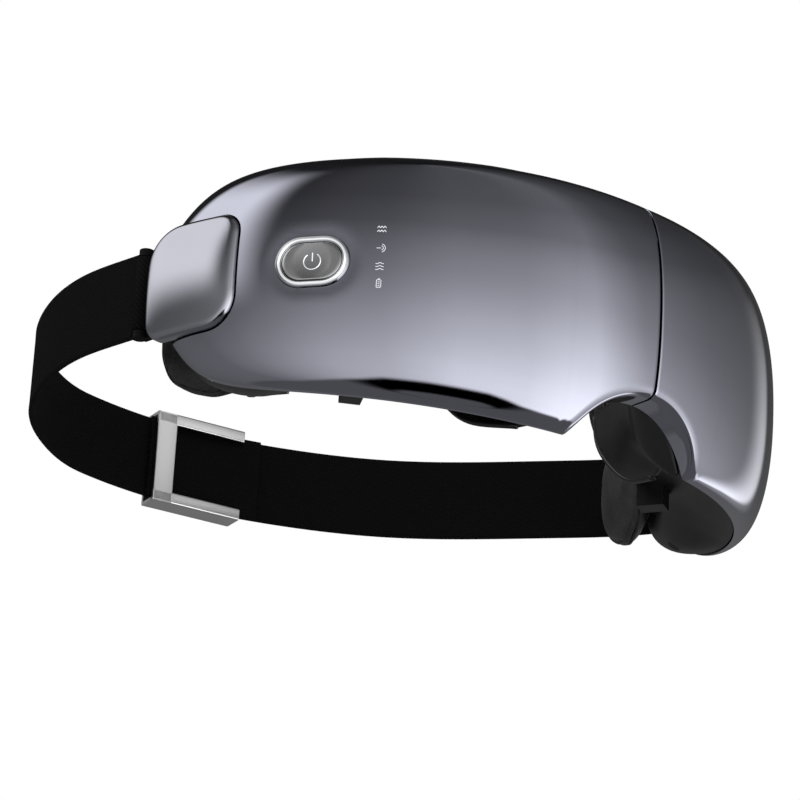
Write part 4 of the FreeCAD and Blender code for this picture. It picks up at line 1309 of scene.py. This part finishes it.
def glide_rail(sign):
    """Folded rail: a wall outside the strap edge with a lip on each face."""
    wall = RAIL_OUTER - 1.0
    profile = [(GLIDE_BACK, LIP_EDGE), (GLIDE_BACK, RAIL_OUTER), (GLIDE_FRONT, RAIL_OUTER),
               (GLIDE_FRONT, LIP_EDGE), (GLIDE_FRONT - 1, LIP_EDGE), (GLIDE_FRONT - 1, wall),
               (GLIDE_BACK + 1, wall), (GLIDE_BACK + 1, LIP_EDGE)]
    section = round_corners(profile, 0.55)
    half = GLIDE_LENGTH / 2
    rings = []
    for along, shrink in ((-half, 0.25), (-half + 0.25, 0.0), (half - 0.25, 0.0), (half, 0.25)):
        centre = section.mean(axis=0)
        scaled = centre + (section - centre) * (1 - shrink * 0.05)
        rings.append(glide_point(along, scaled[:, 0], sign * scaled[:, 1]))
    return loft("rail", rings, nickel)


def glide_bar(start, back):
    """Flat cross bar between the rails."""
    section = round_corners([(start, back), (start + GLIDE_BAR, back), (start + GLIDE_BAR, back + 1.0),
                             (start, back + 1.0)], 0.4)
    heights = np.linspace(-RAIL_OUTER + 0.2, RAIL_OUTER - 0.2, 6)
    rings = [glide_point(section[:, 0], section[:, 1], up) for up in heights]
    return loft("bar", rings, nickel)


def tri_glide():
    half = GLIDE_LENGTH / 2
    parts = [glide_rail(1), glide_rail(-1), glide_bar(-half, GLIDE_BACK),
             glide_bar(half - GLIDE_BAR, GLIDE_FRONT - 1.0)]
    for part in parts:
        sharpen(part, 50)
    whole = join("tri_glide_look", *parts)
    return place(whole, "tri_glide", "glide_nickel", "tri_glide")


# CAD pieces that keep their own shape

# (material, slot, nodes); a name that ends in _ has a right and a left node
NODE_FINISH = [
    (steel, "hinge_steel", ["hinge_bracket_", "hinge_pin"]),
    (motor_steel, "motor_steel", ["usb_port", "vibration_motor_"]),
    (matte_black, "black_plastic", ["strap_anchor_"]),
    (black_plastic, "black_plastic", ["pad_clip_", "speaker_", "switch_plunger", "air_pump"]),
    (black_plastic, "black_plastic", ["release_valve"]),
    (dark_steel, "screw_steel", ["screws_"]),
    (tungsten, "tungsten", ["motor_weight_"]),
    (board_green, "board_green", ["switch_board", "main_board"]),
    (battery_wrap, "battery_wrap", ["battery"]),
    (tube_clear, "tube_clear", ["air_tubes"]),
]


def dress_node(node, material):
    """Finish and softly broken edges for a piece that keeps its designed shape."""
    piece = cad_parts[node]
    piece.data.materials.clear()
    piece.data.materials.append(material)
    bevel = piece.modifiers.new("edges", "BEVEL")
    bevel.width = 0.2 * MM
    bevel.segments = 2
    bevel.limit_method = "ANGLE"
    bevel.angle_limit = math.radians(40)
    bevel.harden_normals = True


def dress_nodes():
    for material, slot, names in NODE_FINISH:
        for name in names:
            for end in SIDES if name.endswith("_") else [""]:
                dress_node(name + end, material)


# Studio

def window(graph, value, low, high, soft_low, soft_high):
    """1 between two limits, with soft shoulders of the given widths."""
    rise = graph.span(value, low - soft_low, low + soft_low, smooth=True)
    fall = graph.span(value, high - soft_high, high + soft_high, 1.0, 0.0, smooth=True)
    return graph.times(rise, fall)


# Windows as (low, high, soft width at the low end, at the high end), in degrees
FLAG_BEARING = (-72.0, 0.0, 8.0, 6.0)
STRIP_WINDOW = (2.0, 13.0, 2.5, 8.0)
SHOULDER_BEARING = (-152.0, -97.0, 10.0, 10.0)
SHOULDER_HEIGHT = (18.0, 58.0, 8.0, 12.0)
STRIP_LEVEL = 0.80
SHOULDER_LEVEL = 0.72
LOW_LEVEL = 0.075
# Brightness of the front light by compass bearing (degrees from -Y towards +X) and by elevation
FRONT_BY_BEARING = [
    (-180, 0.10), (-115, 0.13), (-100, 0.19), (-86, 0.28), (-70, 0.40), (-50, 0.50), (-28, 0.76),
    (-5, 0.86), (8, 1.06), (18, 1.15), (27, 0.85), (36, 0.60), (50, 0.48), (67, 0.36), (90, 0.27),
    (104, 0.24), (112, 0.10), (180, 0.09),
]
FRONT_BY_HEIGHT = [
    (-90, 1.0), (-22, 1.0), (-10, 0.93), (0, 0.80), (12, 0.60), (24, 0.33), (35, 0.16), (47, 0.11),
    (90, 0.09),
]
# Lower edge of the front light by bearing
FRONT_LOW_EDGE = [
    (-180, -44), (-150, -50), (-110, -54), (-92, -50), (-80, -46), (-66, -41), (-56, -35), (-40, -33),
    (-17, -33), (-10, -37), (-3, -43), (8, -46), (30, -47), (60, -42), (80, -36), (112, -36), (180, -42),
]
STRIP_BY_HEIGHT = [
    (-36, 0.0), (-31, 1.0), (-12, 1.0), (-2, 0.76), (5, 0.62), (12, 0.48), (19, 0.36), (25, 0.12), (30, 0.0),
    (90, 0.0)]


def level_along(graph, value, stops):
    """Level that follows (value, level) stops."""
    lows = [level for _, level in stops]
    low, high = min(lows), max(lows)
    first, last = stops[0][0], stops[-1][0]
    ramp = graph.node("ValToRGB", {"Fac": graph.span(value, first, last)})
    marks = ramp.color_ramp.elements
    while len(marks) < len(stops):
        marks.new(0.5)
    for mark, (at, level) in zip(marks, stops):
        mark.position = (at - first) / (last - first)
        share = (level - low) / (high - low)
        mark.color = (share, share, share, 1.0)
    return graph.span(ramp.outputs[0], 0.0, 1.0, low, high)


def studio_panels(graph, bearing, height):
    """Brightness of the studio as the polished shell mirrors it, by direction."""
    front = graph.times(level_along(graph, bearing, FRONT_BY_BEARING),
                       level_along(graph, height, FRONT_BY_HEIGHT))
    over = graph.math("SUBTRACT", height, level_along(graph, bearing, FRONT_LOW_EDGE))
    front = graph.times(front, graph.span(over, -4.0, 4.0, smooth=True))
    flagged = window(graph, bearing, *FLAG_BEARING)
    flag = graph.times(flagged, graph.span(over, -22.0, -28.0))
    below = graph.math("MAXIMUM", flag, graph.math("SUBTRACT", 1.0, flagged))
    below = graph.times(below, graph.span(over, 4.0, -4.0, 0.0, LOW_LEVEL))
    limit = graph.plus(100.0, graph.span(height, -20.0, 24.0, 0.0, 15.0))
    away = graph.math("SUBTRACT", limit, bearing)
    strip = graph.times(window(graph, away, *STRIP_WINDOW),
                       level_along(graph, height, STRIP_BY_HEIGHT))
    shoulder = graph.times(window(graph, bearing, *SHOULDER_BEARING), window(graph, height, *SHOULDER_HEIGHT))
    light = graph.plus(front, below)
    for panel, brightness in ((strip, STRIP_LEVEL), (shoulder, SHOULDER_LEVEL)):
        light = graph.plus(light, graph.times(panel, brightness))
    return light


def studio_world():
    """White to the camera; bright and dark panels in mirror reflections; a soft dome otherwise."""
    world = bpy.data.worlds.new("studio")
    scene.world = world
    world.use_nodes = True
    graph = Graph(world.node_tree)
    split = graph.node("SeparateXYZ", {"Vector": graph.node("TexCoord").outputs["Generated"]})
    x, y, z = split.outputs[0], split.outputs[1], split.outputs[2]
    bearing = graph.math("DEGREES", graph.math("ARCTAN2", x, graph.times(y, -1.0)))
    height = graph.math("DEGREES", graph.math("ARCSINE", z))
    glossy = graph.times(studio_panels(graph, bearing, height), 2.0)
    path = graph.node("LightPath")
    soft = graph.span(z, -1.0, 1.0, 0.30, 0.75)
    strength = graph.choose(path.outputs["Is Glossy Ray"], soft, glossy)
    shown = graph.choose(path.outputs["Is Camera Ray"], strength, 1.0)
    back = graph.node("Background", {"Color": (1, 1, 1, 1), "Strength": shown})
    output = graph.node("OutputWorld")
    graph.tree.links.new(back.outputs[0], output.inputs[0])


# Name, place, aim, size and power of each lamp
LAMPS = [
    ("key", (-0.5, -0.6, 0.9), (0.0, 0.05, 0.0), 0.7, 9.0),
    ("side", (-0.9, 0.4, 0.5), (0.0, 0.08, 0.0), 0.6, 4.0),
]


def area_light(name, spot, aim, size, power):
    light = bpy.data.lights.new(name, "AREA")
    light.size = size
    light.energy = power
    lamp = bpy.data.objects.new(name, light)
    lamp.location = spot
    lamp.rotation_euler = (Vector(aim) - Vector(spot)).to_track_quat("-Z", "Y").to_euler()
    lamp.visible_glossy = False
    scene.collection.objects.link(lamp)
    return lamp


FLOOR_REACH = 3.0
FLOOR_HEIGHT = -0.0435


def studio_floor():
    """Pale table top just under the mask; seen from below it isn't there."""
    mesh = bpy.data.meshes.new("floor")
    signs = ((-1, -1), (1, -1), (1, 1), (-1, 1))
    corners = [(x * FLOOR_REACH, y * FLOOR_REACH, FLOOR_HEIGHT) for x, y in signs]
    mesh.from_pydata(corners, [], [(0, 1, 2, 3)])
    floor = bpy.data.objects.new("floor", mesh)
    scene.collection.objects.link(floor)
    material, graph, shader = new_graph("floor_paper")
    where = graph.node("TexCoord").outputs["Object"]
    mottled = noise(graph, where, 8.0)
    graph.put(shader.inputs["Base Color"], graph.colours(mottled, (0.80, 0.80, 0.80), (0.86, 0.86, 0.86)))
    set_shader(graph, shader, Roughness=0.8)
    clear = graph.node("BsdfTransparent")
    mix = graph.node("MixShader")
    graph.put(mix.inputs[0], graph.node("NewGeometry").outputs["Backfacing"])
    graph.tree.links.new(shader.outputs[0], mix.inputs[1])
    graph.tree.links.new(clear.outputs[0], mix.inputs[2])
    output = [n for n in graph.tree.nodes if n.type == "OUTPUT_MATERIAL"][0]
    graph.tree.links.new(mix.outputs[0], output.inputs[0])
    mesh.materials.append(material)
    floor.visible_glossy = False


CAMERA_AZIMUTH = -39.115
CAMERA_ELEVATION = -21.838
CAMERA_ROLL = -3.364
CAMERA_LENS = 179.15
CAMERA_DISTANCE = 1080.0
CAMERA_SHIFT_RIGHT = -70.989
CAMERA_SHIFT_UP = -24.055
CAMERA_AIM = (0.0, -12.0, -1.5)


def studio_camera():
    azimuth, elevation, roll = (math.radians(v) for v in (CAMERA_AZIMUTH, CAMERA_ELEVATION, CAMERA_ROLL))
    right = vec(math.cos(azimuth), math.sin(azimuth), 0)
    ahead = vec(-math.sin(azimuth) * math.cos(elevation), math.cos(azimuth) * math.cos(elevation),
                -math.sin(elevation))
    up = np.cross(right, ahead)
    right, up = (math.cos(roll) * right - math.sin(roll) * up, math.sin(roll) * right + math.cos(roll) * up)
    spot = vec(*CAMERA_AIM) - ahead * CAMERA_DISTANCE + right * CAMERA_SHIFT_RIGHT + up * CAMERA_SHIFT_UP
    lens = bpy.data.cameras.new("photo_camera")
    lens.lens = CAMERA_LENS
    lens.sensor_width = 36.0
    camera = bpy.data.objects.new("photo_camera", lens)
    axes = np.column_stack([right, up, -ahead])
    camera.matrix_world = Matrix.Translation(Vector(spot * MM)) @ Matrix(axes.tolist()).to_4x4()
    scene.collection.objects.link(camera)
    scene.camera = camera


def build():
    for name, side in SIDES.items():
        front_cover(name, side)
        temple_cover(name, side)
        vent_eyelet(name, side, rear_housing(name, side))
        nose_wing(name, side)
        eye_layers(name, side)
    face_pads()
    button_bezel()
    power_cap()
    power_symbol()
    indicator_symbols()
    bridge_gusset()
    flex_cable()
    strap_pieces()
    strap_tail()
    tri_glide()
    dress_nodes()


build()
studio_world()
studio_floor()
for lamp_values in LAMPS:
    area_light(*lamp_values)
studio_camera()
scene.view_settings.view_transform = "Standard"
